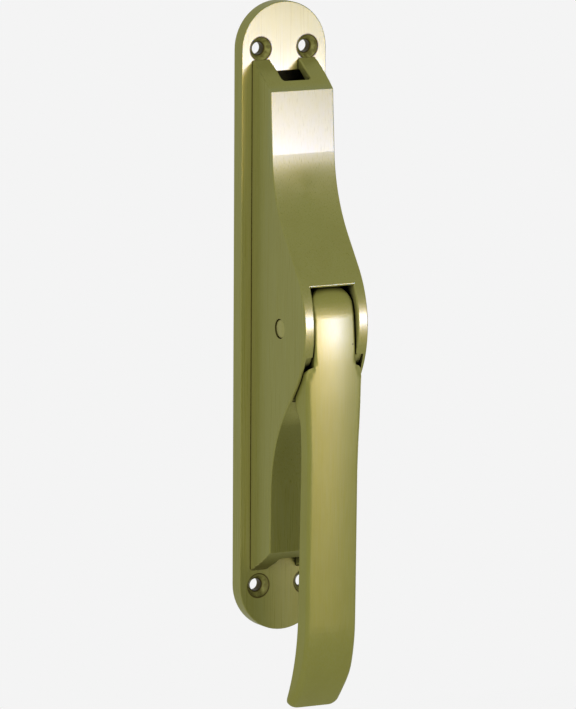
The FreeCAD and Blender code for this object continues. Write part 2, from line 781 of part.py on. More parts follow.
def lever_side_waste(side):
    """Front view of what is cut away beside the lever, on one side."""
    neck = size("neck_width") / 2
    cheek = size("cheek_width") / 2
    grip = size("grip_width") / 2
    margin = size("waste_margin")
    outside = cheek + margin
    start = -size("shoulder_start")
    end = start - size("shoulder_length")
    top = crown_point(90).y + margin
    bottom = -size("tip_front_end") - margin
    corner = size("tip_corner_round")
    tip = -size("tip_front_end") - size("tip_corner_step")
    cut = corner * (1 - math.sqrt(0.5))

    def mark(across, level):
        return Vector(side * across, level, 0)

    shoulder = s_bend(mark(neck, start), mark(cheek, end))
    taper = s_bend(mark(cheek, end), mark(grip, -size("grip_taper_end")))
    return [mark(outside, top), mark(neck, top), mark(neck, start)] + shoulder + taper + \
        [mark(grip, tip + corner), (mark(grip - cut, tip + cut), mark(grip - corner, tip)),
         mark(grip - corner, bottom), mark(outside, bottom)]


def cheek_back_waste():
    """Side view of what is cut away behind the cheeks, beside the neck and hub."""
    step = size("cheek_back_step")
    start = at(lever_front(-size("shoulder_start")) + size("waste_margin"), -size("shoulder_start"))
    first = at(lever_front(-size("shoulder_start")) - step / 3, -size("shoulder_start") - step)
    lip = about_pivot(size("cheek_lip_radius"), size("cheek_lip_angle"))
    heel = about_pivot(size("cheek_heel_radius"), size("cheek_heel_angle"))
    root = at(size("root_depth"), -size("root_bottom"))
    return [start, first, lip, heel, root, at(0, -size("root_bottom")), at(0, -size("shoulder_start"))]


def make_lever():
    body = new_body("lever")
    side = new_sketch(body, "lever_side", "YZ_Plane")
    draw_path(side, lever_outline())
    pad(body, "lever_blank", side, "Sizes.cheek_width", symmetric=True)

    for name, sign in (("left", -1), ("right", 1)):
        waste = new_sketch(body, f"{name}_waste_front", "XZ_Plane", "Sizes.lever_blank_depth")
        draw_path(waste, lever_side_waste(sign))
        pocket(body, f"{name}_waste", waste, "Sizes.lever_blank_depth")

    def on_front(edge):
        point = middle_of(edge)
        if abs(point.x) < size("neck_width") / 2 - near or edge.BoundBox.ZLength < flat_edge:
            return False
        if point.z > size("brow_level"):
            return point.y < crown_point(size("crown_end_angle")).x and edge.BoundBox.YLength > near
        if point.z > -size("curl_front_start"):
            return abs(-point.y - lever_front(point.z)) < near
        start = at(size("curl_front_depth"), -size("curl_front_start"))
        centre = curl_centre(start, front_lean(), size("curl_front_radius"))
        return abs((Vector(point.y, point.z, 0) - centre).Length - size("curl_front_radius")) < near

    fillet(body, "front_rounding", edges_where(body.Shape, on_front), "Sizes.lever_front_round")

    for name, sign, turned in (("left", "-", False), ("right", "", True)):
        behind = new_sketch(body, f"{name}_cheek_back_side", "YZ_Plane", f"{sign}Sizes.neck_width / 2")
        draw_path(behind, cheek_back_waste())
        pocket(body, f"{name}_cheek_back", behind, "Sizes.cheek_width", turned=turned)

    def on_back(edge):
        point = middle_of(edge)
        if point.z > -size("root_bend") or edge.BoundBox.ZLength < flat_edge:
            return False
        if point.z > -size("grip_back_start"):
            return -point.y < size("grip_back_depth") + near
        start = at(size("curl_back_depth"), -size("curl_back_start"))
        if point.z > start.y:
            rise = (point.z - start.y) / (-size("grip_back_start") - start.y)
            depth = size("curl_back_depth") + rise * (size("grip_back_depth") - size("curl_back_depth"))
            return abs(-point.y - depth) < near
        centre = curl_centre(start, back_lean(), curl_back_radius())
        return abs((Vector(point.y, point.z, 0) - centre).Length - curl_back_radius()) < near

    fillet(body, "back_rounding", edges_where(body.Shape, on_back), "Sizes.lever_back_round")

    hub = new_sketch(body, "hub_side", "YZ_Plane")
    draw_circle(hub, pivot_y, pivot_z, "Sizes.hub_radius")
    pad(body, "hub", hub, "Sizes.neck_width", symmetric=True)

    teeth = new_sketch(body, "sector_side", "YZ_Plane")
    draw_path(teeth, sector_outline())
    pad(body, "sector", teeth, "Sizes.sector_width", symmetric=True)

    bore = new_sketch(body, "lever_bore_side", "YZ_Plane")
    draw_circle(bore, pivot_y, pivot_z, "Sizes.pin_diameter / 2 + Sizes.running_gap")
    pocket(body, "lever_bore", bore, "Sizes.casing_width", symmetric=True)
    return body


def sector_outline():
    """Teeth behind the pivot; a tooth points straight at the rack when the lever is down."""
    radius = sector_pitch_radius()
    pitch_angle = 2 * math.pi / size("sector_full_teeth")
    lowest = -int(size("sector_teeth_below"))
    path = []
    for index in range(lowest, lowest + int(size("sector_teeth"))):
        centre_angle = math.pi - index * pitch_angle
        for distance, angle in tooth_points(radius, size("sector_module"), centre_angle)[::-1]:
            path.append(about_pivot(distance, math.degrees(angle)))
    path.append(about_pivot(size("pin_diameter"), math.degrees(centre_angle)))
    path.append(about_pivot(size("pin_diameter"), math.degrees(math.pi - lowest * pitch_angle)))
    return path


def make_pin():
    body = new_body("pivot_pin")
    section = new_sketch(body, "pin_side", "YZ_Plane")
    draw_circle(section, pivot_y, pivot_z, "Sizes.pin_diameter / 2")
    pad(body, "pin", section, "Sizes.casing_width", symmetric=True)
    ends = edges_where(body.Shape, lambda edge: edge.BoundBox.XLength < near)
    chamfer(body, "pin_ends", ends, "Sizes.pin_chamfer")
    return body


def make_washer(label, side):
    body = new_body(label)
    place = f"{side}(Sizes.neck_width / 2 + Sizes.running_gap)"
    face = new_sketch(body, f"{label}_side", "YZ_Plane", place)
    draw_circle(face, pivot_y, pivot_z, "Sizes.washer_diameter / 2")
    draw_circle(face, pivot_y, pivot_z, "Sizes.pin_diameter / 2 + Sizes.running_gap")
    pad(body, f"{label}_disc", face, "Sizes.washer_thickness", turned=(side == "-"))
    return body


def make_upper_slide():
    body = new_body("upper_slide")
    module = size("sector_module")
    pitch_depth = size("pivot_depth") - sector_pitch_radius()
    back = size("slide_back_depth")
    bottom = -size("upper_bar_bottom")
    top = size("upper_slide_top")
    head_bottom = top - size("upper_head_length")
    slope = size("slide_head_slope")
    rack_top = bottom + size("upper_rack_length")
    pitch = math.pi * module
    first = math.ceil((bottom - pivot.y) / pitch)
    count = int((rack_top - pivot.y) / pitch) - first
    teeth = [at(pitch_depth + out, pivot.y + along) for along, out in rack_outline(module, first, count)]
    root_depth = size("rack_root_depth")
    path = [at(back, bottom), at(root_depth, bottom)] + teeth
    path += [at(root_depth, rack_top), at(size("slide_bar_depth"), rack_top + size("rack_run_out")),
             at(size("slide_bar_depth"), head_bottom - slope), at(size("slide_head_front"), head_bottom),
             at(size("slide_head_front"), top), at(size("slide_head_back"), top),
             at(size("slide_head_back"), head_bottom), at(back, head_bottom - slope)]
    side = new_sketch(body, "upper_slide_side", "YZ_Plane")
    draw_path(side, path)
    pad(body, "upper_bar", side, "Sizes.slide_width", symmetric=True)

    link = new_sketch(body, "upper_link_front", "XZ_Plane", "Sizes.arm_back_depth")
    draw_rectangle(link, "-Sizes.arm_outer", "-Sizes.slide_width / 2",
                   "Sizes.arm_link_top - Sizes.arm_link_length", "Sizes.arm_link_top")
    pad(body, "upper_link", link, "Sizes.slide_bar_depth - Sizes.arm_back_depth")

    arm_rack(body, "upper", -1)
    rod_thread(body, "upper", "Sizes.upper_slide_top", turned=False)
    return body


def arm_rack(body, name, side):
    """Rack on a slide's arm, facing the idler; teeth straddle the idler over the whole travel."""
    module = size("idler_module")
    pitch = math.pi * module
    pitch_line = module * size("idler_teeth") / 2
    root_line = pitch_line + size("tooth_root_ratio") * module
    level = size("idler_level")
    travel = slide_travel()
    contact = size("arm_rack_reach")
    reach_up = travel + contact if side < 0 else contact
    reach_down = contact if side < 0 else travel + contact
    first = -math.ceil(reach_down / pitch)
    count = math.ceil(reach_up / pitch) - first
    teeth = [Vector(side * (pitch_line - out), level + along, 0)
             for along, out in rack_outline(module, first, count)]
    top = level + (first + count) * pitch
    bottom = level + first * pitch
    if side < 0:
        ends = (bottom, size("arm_link_top"))
    else:
        ends = (size("lower_link_foot") - size("lower_slide_bottom"), top)
    root = side * root_line
    outer = side * size("arm_outer")
    front = new_sketch(body, f"{name}_arm_front", "XZ_Plane", "Sizes.arm_back_depth")
    draw_path(front, [Vector(outer, ends[0], 0), Vector(root, ends[0], 0)] + teeth
              + [Vector(root, ends[1], 0), Vector(outer, ends[1], 0)])
    pad(body, f"{name}_arm", front, "Sizes.arm_front_depth - Sizes.arm_back_depth")


def rod_thread(body, name, level, turned):
    place = new_sketch(body, f"{name}_thread_place", "XY_Plane", level)
    middle = "-(Sizes.slide_head_back + Sizes.slide_head_front) / 2"
    draw_circle(place, "0", middle, "Sizes.rod_thread_diameter / 2")
    pocket(body, f"{name}_rod_thread", place, "Sizes.rod_thread_depth", turned=turned)


def make_lower_slide():
    body = new_body("lower_slide")
    head = new_sketch(body, "lower_head_front", "XZ_Plane", "Sizes.slide_head_back")
    draw_rectangle(head, "-Sizes.slide_width / 2", "Sizes.slide_width / 2", "-Sizes.lower_slide_bottom",
                   "Sizes.lower_head_length - Sizes.lower_slide_bottom")
    pad(body, "lower_head", head, "Sizes.slide_head_front - Sizes.slide_head_back")

    link = new_sketch(body, "lower_link_front", "XZ_Plane", "Sizes.arm_back_depth")
    draw_rectangle(link, "Sizes.slide_width / 2", "Sizes.arm_outer",
                   "Sizes.lower_link_foot - Sizes.lower_slide_bottom",
                   "Sizes.lower_head_length - Sizes.lower_slide_bottom")
    pad(body, "lower_link", link, "Sizes.slide_bar_depth - Sizes.arm_back_depth")

    arm_rack(body, "lower", 1)
    rod_thread(body, "lower", "-Sizes.lower_slide_bottom", turned=True)
    return body


def slide_travel():
    """How far the slides run while the lever swings through its whole range."""
    return sector_pitch_radius() * math.radians(size("lever_swing"))


def make_idler():
    body = new_body("idler_pinion")
    module = size("idler_module")
    count = int(size("idler_teeth"))
    radius = module * count / 2
    level = size("idler_level")
    points = []
    for index in range(count):
        for distance, angle in tooth_points(radius, module, 2 * math.pi * index / count):
            points.append(Vector(distance * math.cos(angle), level + distance * math.sin(angle), 0))
    face = new_sketch(body, "idler_front", "XZ_Plane", "Sizes.idler_back_depth")
    draw_path(face, points)
    draw_circle(face, "0", "Sizes.idler_level", "Sizes.stud_diameter / 2 + Sizes.running_gap")
    pad(body, "idler_gear", face, "Sizes.arm_front_depth - Sizes.idler_back_depth")
    return body


def make_stud():
    body = new_body("pinion_stud")
    rivet = new_sketch(body, "stud_rivet_front", "XZ_Plane", "0")
    draw_circle(rivet, "0", "Sizes.idler_level", "Sizes.stud_diameter / 2")
    pad(body, "stud_rivet", rivet, "Sizes.stud_end_depth")
    flange = new_sketch(body, "stud_flange_front", "XZ_Plane", "Sizes.cover_thickness")
    draw_circle(flange, "0", "Sizes.idler_level", "Sizes.stud_flange_diameter / 2")
    pad(body, "stud_flange", flange, "Sizes.idler_back_depth - Sizes.cover_thickness - Sizes.running_gap")
    groove = new_sketch(body, "stud_groove_front", "XZ_Plane", "Sizes.clip_depth")
    draw_circle(groove, "0", "Sizes.idler_level", "Sizes.stud_diameter")
    draw_circle(groove, "0", "Sizes.idler_level", "Sizes.clip_groove_diameter / 2")
    pocket(body, "stud_groove", groove, "Sizes.clip_thickness", turned=True)
    return body


def make_clip():
    """Spring clip in the stud's groove, open at one side."""
    body = new_body("retaining_clip")
    ring = new_sketch(body, "clip_front", "XZ_Plane", "Sizes.clip_depth")
    draw_circle(ring, "0", "Sizes.idler_level", "Sizes.clip_diameter / 2")
    draw_circle(ring, "0", "Sizes.idler_level", "Sizes.clip_groove_diameter / 2")
    pad(body, "clip_ring", ring, "Sizes.clip_thickness")
    mouth = new_sketch(body, "clip_mouth_front", "XZ_Plane", "Sizes.clip_depth")
    half = "Sizes.clip_groove_diameter / 2 - Sizes.clip_lip"
    draw_rectangle(mouth, f"-({half})", half,
                   "Sizes.idler_level - Sizes.clip_diameter", "Sizes.idler_level")
    pocket(body, "clip_mouth", mouth, "Sizes.clip_thickness", turned=True)
    return body


def guide_screw_places():
    across = "Sizes.guide_screw_x"
    return [(across, "Sizes.guide_bottom + Sizes.guide_screw_edge"),
            (across, "Sizes.guide_top - Sizes.guide_screw_edge")]


def sink_cone(body, name, across, up):
    cone = body.newObject("PartDesign::SubtractiveCone", name)
    cone.setExpression("Radius1", "Sizes.screw_head_diameter / 2")
    cone.setExpression("Radius2", "Sizes.screw_diameter / 2")
    cone.setExpression("Height", "(Sizes.screw_head_diameter - Sizes.screw_diameter) / 2")
    cone.Placement.Rotation = FreeCAD.Rotation(Vector(1, 0, 0), 90)
    cone.setExpression(".Placement.Base.x", across)
    cone.setExpression(".Placement.Base.z", up)
    doc.recompute()


def make_cover():
    body = new_body("back_cover")
    outline = new_sketch(body, "cover_outline", "XZ_Plane")
    draw_rectangle(outline, "-Sizes.cover_width / 2", "Sizes.cover_width / 2",
                   "-Sizes.cover_bottom", "Sizes.cover_top")
    pad(body, "cover_sheet", outline, "Sizes.cover_thickness")
    thickness = size("cover_thickness")
    corners = edges_where(body.Shape, lambda edge: abs(edge.BoundBox.YLength - thickness) < near)
    fillet(body, "cover_corners", corners, "Sizes.cover_corner_round")
    holes = new_sketch(body, "cover_holes_plan", "XZ_Plane")
    for across, up in screw_places() + guide_screw_places():
        draw_circle(holes, across, up, "Sizes.screw_diameter / 2")
    draw_circle(holes, "0", "Sizes.idler_level", "Sizes.stud_diameter / 2")
    pocket(body, "cover_holes", holes, "Sizes.cover_thickness", turned=True)
    for index, (across, up) in enumerate(screw_places() + guide_screw_places()):
        sink_cone(body, f"cover_sink_{index}", across, up)
    return body


def make_guide():
    """Block behind the upper slide's bar that holds its rack against the lever's teeth."""
    body = new_body("rack_guide")
    face = new_sketch(body, "guide_front", "XZ_Plane", "Sizes.cover_thickness")
    draw_rectangle(face, "-Sizes.guide_left", "Sizes.guide_right", "Sizes.guide_bottom", "Sizes.guide_top")
    pad(body, "guide_block", face, "Sizes.slide_back_depth - Sizes.cover_thickness - Sizes.guide_gap")
    holes = new_sketch(body, "guide_holes_front", "XZ_Plane", "Sizes.cover_thickness")
    for across, up in guide_screw_places():
        draw_circle(holes, across, up, "Sizes.screw_diameter / 2")
    pocket(body, "guide_holes", holes, "Sizes.screw_length - Sizes.cover_thickness", turned=True)
    return body


def make_screws(label, places):
    """Countersunk screws, heads flush with the back of the cover."""
    screws = []
    for index, (across, up) in enumerate(places):
        head = doc.addObject("Part::Cone", f"{label}_head_{index}")
        head.setExpression("Radius1", "Sizes.screw_head_diameter / 2")
        head.setExpression("Radius2", "Sizes.screw_diameter / 2")
        head.setExpression("Height", "(Sizes.screw_head_diameter - Sizes.screw_diameter) / 2")
        shank = doc.addObject("Part::Cylinder", f"{label}_shank_{index}")
        shank.setExpression("Radius", "Sizes.screw_diameter / 2")
        shank.setExpression("Height", "Sizes.screw_length")
        slot = doc.addObject("Part::Box", f"{label}_slot_{index}")
        slot.setExpression("Length", "Sizes.screw_head_diameter + 2 * Sizes.screw_slot_width")
        slot.setExpression("Width", "Sizes.screw_slot_width")
        slot.setExpression("Height", "Sizes.screw_slot_depth")
        for piece in (head, shank, slot):
            piece.Placement.Rotation = FreeCAD.Rotation(Vector(1, 0, 0), 90)
            piece.setExpression(".Placement.Base.x", across)
            piece.setExpression(".Placement.Base.z", up)
        left = f"{across} - Sizes.screw_head_diameter / 2 - Sizes.screw_slot_width"
        slot.setExpression(".Placement.Base.x", left)
        slot.setExpression(".Placement.Base.z", f"{up} - Sizes.screw_slot_width / 2")
        joined = doc.addObject("Part::Fuse", f"{label}_blank_{index}")
        joined.Base = head
        joined.Tool = shank
        cut = doc.addObject("Part::Cut", f"{label}_{index}")
        cut.Base = joined
        cut.Tool = slot
        screws.append(cut)
    group = doc.addObject("Part::Compound", label)
    group.Links = screws
    group.Label = label
    doc.recompute()
    return group


parts = [
    make_casting(),
    make_cover(),
    make_screws("cover_screws", screw_places()),
    make_pin(),
    make_washer("left_washer", "-"),
    make_washer("right_washer", ""),
    make_lever(),
    make_upper_slide(),
    make_lower_slide(),
    make_idler(),
    make_stud(),
    make_clip(),
    make_guide(),
    make_screws("guide_screws", guide_screw_places()),
]

doc.recompute()
for item in doc.Objects:
    if {"Invalid", "Error"} & set(item.State):
        raise RuntimeError(f"{item.Label} did not build: {item.State}")
for item in parts:
    if item.Shape.isNull() or not item.Shape.isValid():
        raise RuntimeError(f"{item.Label} has no valid shape")

os.makedirs("parts", exist_ok=True)
for item in parts:
    item.Shape.exportStep(f"parts/{item.Label}.step")
    print(item.Label, len(item.Shape.Solids), "solids", round(item.Shape.Volume, 1), "mm3")
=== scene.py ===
import json
import math

import bpy
from mathutils import Matrix, Vector


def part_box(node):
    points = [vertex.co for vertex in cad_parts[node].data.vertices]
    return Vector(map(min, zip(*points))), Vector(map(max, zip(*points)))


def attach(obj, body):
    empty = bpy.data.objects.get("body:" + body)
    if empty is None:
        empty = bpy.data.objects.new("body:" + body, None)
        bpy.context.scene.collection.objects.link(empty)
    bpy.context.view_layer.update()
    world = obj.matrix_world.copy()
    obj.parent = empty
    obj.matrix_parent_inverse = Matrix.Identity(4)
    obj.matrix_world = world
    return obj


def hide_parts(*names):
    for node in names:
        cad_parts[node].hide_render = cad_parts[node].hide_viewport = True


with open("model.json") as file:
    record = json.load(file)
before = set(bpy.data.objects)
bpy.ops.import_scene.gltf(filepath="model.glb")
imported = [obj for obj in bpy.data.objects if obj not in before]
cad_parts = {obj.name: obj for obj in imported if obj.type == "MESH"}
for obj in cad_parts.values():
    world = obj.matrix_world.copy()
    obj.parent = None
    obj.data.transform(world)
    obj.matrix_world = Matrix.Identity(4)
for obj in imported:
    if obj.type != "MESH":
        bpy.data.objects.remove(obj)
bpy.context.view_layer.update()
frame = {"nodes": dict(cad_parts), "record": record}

# Camera: the photograph's viewing angle, 28.6 degrees to the left and 8.8 degrees above.
camera = {
    "azimuth": 28.567,
    "elevation": 8.782,
    "roll": 0.269,
    "focalPixels": 7318.2,
    "distance": 2.9308,
    "originPixel": (275.324, 314.917),
    "imageSize": (576, 709),
    "sensor": 36.0,
    "farthest": 20,
}


def makeCamera(facts):
    turn = math.radians(facts["azimuth"])
    rise = math.radians(facts["elevation"])
    roll = math.radians(facts["roll"])
    right = Vector((math.cos(turn), -math.sin(turn), 0))
    ahead = Vector((math.sin(turn) * math.cos(rise), math.cos(turn) * math.cos(rise), -math.sin(rise)))
    up = right.cross(ahead)
    across = right * math.cos(roll) + up * math.sin(roll)
    upright = up * math.cos(roll) - right * math.sin(roll)
    width, height = facts["imageSize"]
    aside = (width / 2 - facts["originPixel"][0]) / facts["focalPixels"]
    below = (height / 2 - facts["originPixel"][1]) / facts["focalPixels"]
    aim = (ahead + across * aside - upright * below).normalized()
    across = (across - aim * across.dot(aim)).normalized()
    upright = across.cross(aim)
    data = bpy.data.cameras.new("camera")
    data.sensor_fit = "VERTICAL"
    data.sensor_height = facts["sensor"]
    data.sensor_width = facts["sensor"]
    data.lens = facts["focalPixels"] * facts["sensor"] / height
    data.clip_end = facts["farthest"]
    item = bpy.data.objects.new("camera", data)
    bpy.context.collection.objects.link(item)
    place = -ahead * facts["distance"]
    item.matrix_world = Matrix((
        (across.x, upright.x, -aim.x, place.x),
        (across.y, upright.y, -aim.y, place.y),
        (across.z, upright.z, -aim.z, place.z),
        (0, 0, 0, 1),
    ))
    bpy.context.scene.camera = item


makeCamera(camera)
print("camera set")

bpy.context.scene.view_settings.view_transform = "Standard"


# Studio: the bolt hangs in an even white room, which is a little dimmer for matt light than for reflections.
studio = {
    "paper": (0.905, 0.905, 0.905),
    "roomLight": 0.62,
    "floorLevel": -0.26,
    "floorSize": 0.8,
    "floorColor": (0.12, 0.12, 0.12),
    "floorGlow": 0.46,
    "floorShine": 0.366,
    "floorRound": 0.05,
    "floorRoundSteps": 6,
}


def rayMask(nodes, links):
    path = nodes.new("ShaderNodeLightPath")
    seen = nodes.new("ShaderNodeMath")
    seen.operation = "ADD"
    through = nodes.new("ShaderNodeMath")
    through.operation = "ADD"
    through.use_clamp = True
    links.new(path.outputs["Is Camera Ray"], seen.inputs[0])
    links.new(path.outputs["Is Glossy Ray"], seen.inputs[1])
    links.new(seen.outputs["Value"], through.inputs[0])
    links.new(path.outputs["Is Transmission Ray"], through.inputs[1])
    return through.outputs["Value"]


def makeWorld(facts):
    world = bpy.data.worlds.new("studio")
    bpy.context.scene.world = world
    world.use_nodes = True
    nodes = world.node_tree.nodes
    links = world.node_tree.links
    nodes.clear()
    output = nodes.new("ShaderNodeOutputWorld")
    seen = nodes.new("ShaderNodeBackground")
    seen.inputs["Color"].default_value = (*facts["paper"], 1)
    lit = nodes.new("ShaderNodeBackground")
    lit.inputs["Color"].default_value = (1, 1, 1, 1)
    lit.inputs["Strength"].default_value = facts["roomLight"]
    mix = nodes.new("ShaderNodeMixShader")
    links.new(rayMask(nodes, links), mix.inputs["Fac"])
    links.new(lit.outputs["Background"], mix.inputs[1])
    links.new(seen.outputs["Background"], mix.inputs[2])
    links.new(mix.outputs["Shader"], output.inputs["Surface"])


makeWorld(studio)

# Lamps: azimuth and rise in degrees, distance, level of the middle, width, length, brightness, colour, and
# whether they give the highlights or the matt light.
lamps = [
    ("soft box", 20.0, 0.0, 0.47, 0.009, 0.21, 0.11, 23.5, (1.0, 0.68, 0.62), "highlight"),
    ("core", 24.0, 0.0, 0.47, 0.008, 0.13, 0.060, 23.5, (0.0, 0.6, 5.4), "highlight"),
    ("scrim", 14.0, 0.0, 0.48, -0.02, 0.26, 0.34, 2.4, (1.0, 0.72, 0.6), "highlight"),
    ("right strip", 118.0, 4.0, 0.70, 0.0, 0.16, 0.50, 5.0, (1.0, 0.84, 0.80), "highlight"),
    ("left key", -39.0, 8.0, 1.0, 0.0, 0.6, 0.6, 2.1, (1.0, 1.0, 1.0), "matt"),
]


def hangLamps(rows):
    for name, azimuth, rise, distance, level, width, length, brightness, color, gives in rows:
        turn = math.radians(azimuth)
        lift = math.radians(rise)
        aside = Vector((math.sin(turn) * math.cos(lift), -math.cos(turn) * math.cos(lift), math.sin(lift)))
        data = bpy.data.lights.new(name, "AREA")
        data.shape = "RECTANGLE"
        data.size = width
        data.size_y = length
        data.energy = brightness * width * length * math.pi
        data.color = color
        item = bpy.data.objects.new(name, data)
        bpy.context.collection.objects.link(item)
        item.location = aside * distance + Vector((0, 0, level))
        item.rotation_euler = aside.to_track_quat("Z", "Y").to_euler()
        item.visible_diffuse = gives == "matt"
        item.visible_glossy = gives == "highlight"


hangLamps(lamps)


# Pale round-cornered floor under the bolt. It glows for the eye, so that it is as light as the room, and takes
# shadow.
def layFloor(facts):
    material = bpy.data.materials.new("floor paper")
    material.use_nodes = True
    nodes = material.node_tree.nodes
    links = material.node_tree.links
    nodes.clear()
    output = nodes.new("ShaderNodeOutputMaterial")
    matt = nodes.new("ShaderNodeBsdfDiffuse")
    matt.inputs["Color"].default_value = (*facts["floorColor"], 1)
    glow = nodes.new("ShaderNodeEmission")
    glow.inputs["Color"].default_value = (1, 1, 1, 1)
    level = nodes.new("ShaderNodeMath")
    level.operation = "MULTIPLY_ADD"
    level.inputs[1].default_value = facts["floorShine"]
    level.inputs[2].default_value = facts["floorGlow"]
    links.new(rayMask(nodes, links), level.inputs[0])
    links.new(level.outputs["Value"], glow.inputs["Strength"])
    both = nodes.new("ShaderNodeAddShader")
    links.new(matt.outputs["BSDF"], both.inputs[0])
    links.new(glow.outputs["Emission"], both.inputs[1])
    links.new(both.outputs["Shader"], output.inputs["Surface"])
    bpy.ops.object.select_all(action="DESELECT")
    bpy.ops.mesh.primitive_plane_add(size=facts["floorSize"], location=(0, 0, facts["floorLevel"]))
    floor = bpy.context.object
    floor.name = "floor"
    bpy.ops.object.transform_apply(location=True, rotation=True, scale=True)
    bpy.ops.object.mode_set(mode="EDIT")
    bpy.ops.mesh.bevel(offset=facts["floorRound"], segments=facts["floorRoundSteps"], affect="VERTICES")
    bpy.ops.object.mode_set(mode="OBJECT")
    floor.data.materials.append(material)


layFloor(studio)
print("studio set")


# Shared effects, each a node group.
def newGroup(name, inputs, outputs):
    group = bpy.data.node_groups.new(name, "ShaderNodeTree")
    for label, kind, value in inputs:
        socket = group.interface.new_socket(label, in_out="INPUT", socket_type=kind)
        socket.default_value = value
    for label, kind in outputs:
        group.interface.new_socket(label, in_out="OUTPUT", socket_type=kind)
    return group, group.nodes.new("NodeGroupInput"), group.nodes.new("NodeGroupOutput")


def mathNode(group, operation, first, second=None, clamp=False):
    node = group.nodes.new("ShaderNodeMath")
    node.operation = operation
    node.use_clamp = clamp
    for socket, value in zip(node.inputs, (first, second)):
        if isinstance(value, (int, float)):
            socket.default_value = value
        elif value is not None:
            group.links.new(value, socket)
    return node.outputs["Value"]


def rampNode(group, value, low, high, toLow=0.0, toHigh=1.0):
    node = group.nodes.new("ShaderNodeMapRange")
    node.interpolation_type = "SMOOTHSTEP"
    for label, number in (("From Min", low), ("From Max", high), ("To Min", toLow), ("To Max", toHigh)):
        node.inputs[label].default_value = number
    group.links.new(value, node.inputs["Value"])
    return node.outputs["Result"]


def mixNode(group, share, first, second, blend="MIX"):
    node = group.nodes.new("ShaderNodeMix")
    node.data_type = "RGBA"
    node.blend_type = blend
    for socket, value in ((node.inputs["Factor"], share), (node.inputs["A"], first), (node.inputs["B"], second)):
        if isinstance(value, (int, float)):
            socket.default_value = value
        elif isinstance(value, tuple):
            socket.default_value = (*value, 1)
        else:
            group.links.new(value, socket)
    return node.outputs["Result"]


# Vector maths on a linked vector and, where there is one, a second that is linked or given.
def vectorNode(group, operation, first, second=None):
    node = group.nodes.new("ShaderNodeVectorMath")
    node.operation = operation
    group.links.new(first, node.inputs[0])
    if isinstance(second, tuple):
        node.inputs[1].default_value = second
    elif second is not None:
        group.links.new(second, node.inputs[1])
    return node.outputs


def noiseNode(group, place, stretch, detail):
    mapping = group.nodes.new("ShaderNodeMapping")
    mapping.inputs["Scale"].default_value = stretch
    noise = group.nodes.new("ShaderNodeTexNoise")
    noise.inputs["Scale"].default_value = 1.0
    noise.inputs["Detail"].default_value = detail
    noise.inputs["Roughness"].default_value = 0.5
    group.links.new(place, mapping.inputs["Vector"])
    group.links.new(mapping.outputs["Vector"], noise.inputs["Vector"])
    return noise.outputs["Fac"]


# Lines of an abrasive belt, all upright, with a soft cloudiness of the polish under them.
brushed = {
    "fineScale": (5200, 5200, 50),
    "longScale": (3200, 3200, 18),
    "cloudScale": (160, 160, 60),
    "lineDetail": 2.0,
    "cloudDetail": 3.0,
    "fineShare": 0.6,
    "longShare": 0.4,
}


def makeBrushing(facts):
    group, given, out = newGroup(
        "brushed lines",
        [("Contrast", "NodeSocketFloat", 1.0)],
        [("Lines", "NodeSocketFloat"), ("Clouds", "NodeSocketFloat"), ("Height", "NodeSocketFloat")])
    place = group.nodes.new("ShaderNodeTexCoord").outputs["Object"]
    fine = noiseNode(group, place, facts["fineScale"], facts["lineDetail"])
    long = noiseNode(group, place, facts["longScale"], facts["lineDetail"])
    clouds = noiseNode(group, place, facts["cloudScale"], facts["cloudDetail"])
    fine = mathNode(group, "MULTIPLY", fine, facts["fineShare"])
    long = mathNode(group, "MULTIPLY", long, facts["longShare"])
    centred = mathNode(group, "SUBTRACT", mathNode(group, "ADD", fine, long), 0.5)
    strong = mathNode(group, "MULTIPLY", centred, given.outputs["Contrast"])
    group.links.new(mathNode(group, "ADD", strong, 0.5), out.inputs["Lines"])
    group.links.new(clouds, out.inputs["Clouds"])
    group.links.new(strong, out.inputs["Height"])
    return group


# Casting pores that the lacquer didn't fill: few, small and dark.
poreDots = {"scale": 130, "inner": 0.03, "outer": 0.07}


def makePores(facts):
    group, given, out = newGroup(
        "casting pores",
        [("Share", "NodeSocketFloat", 0.06)],
        [("Pores", "NodeSocketFloat")])
    place = group.nodes.new("ShaderNodeTexCoord").outputs["Object"]
    cells = group.nodes.new("ShaderNodeTexVoronoi")
    cells.inputs["Scale"].default_value = facts["scale"]
    group.links.new(place, cells.inputs["Vector"])
    dot = rampNode(group, cells.outputs["Distance"], facts["inner"], facts["outer"], 1.0, 0.0)
    split = group.nodes.new("ShaderNodeSeparateColor")
    group.links.new(cells.outputs["Color"], split.inputs["Color"])
    chosen = mathNode(group, "LESS_THAN", split.outputs["Red"], given.outputs["Share"])
    group.links.new(mathNode(group, "MULTIPLY", dot, chosen), out.inputs["Pores"])
    return group


# Painted shade in closed corners and recesses, painted light that lifts the shade where walls shelter a place, and
# black painted where hardly any light gets in. Each row has how far to look for walls, and the openness where the
# effect is full and where it ends. The reach of the corners is given by the material.
closeness = {
    "samples": 8,
    "corners": (0.35, 0.80),
    "recess": (0.008, 0.60, 0.90),
    "shelter": (0.012, 0.5, 1.0),
    "deep": (0.05, 0.12, 0.38),
    "narrow": (0.006, 0.20, 0.55),
}


def closedShare(group, samples, reach, full, ended):
    around = group.nodes.new("ShaderNodeAmbientOcclusion")
    around.samples = samples
    if isinstance(reach, float):
        around.inputs["Distance"].default_value = reach
    else:
        group.links.new(reach, around.inputs["Distance"])
    return rampNode(group, around.outputs["AO"], full, ended, 1.0, 0.0)


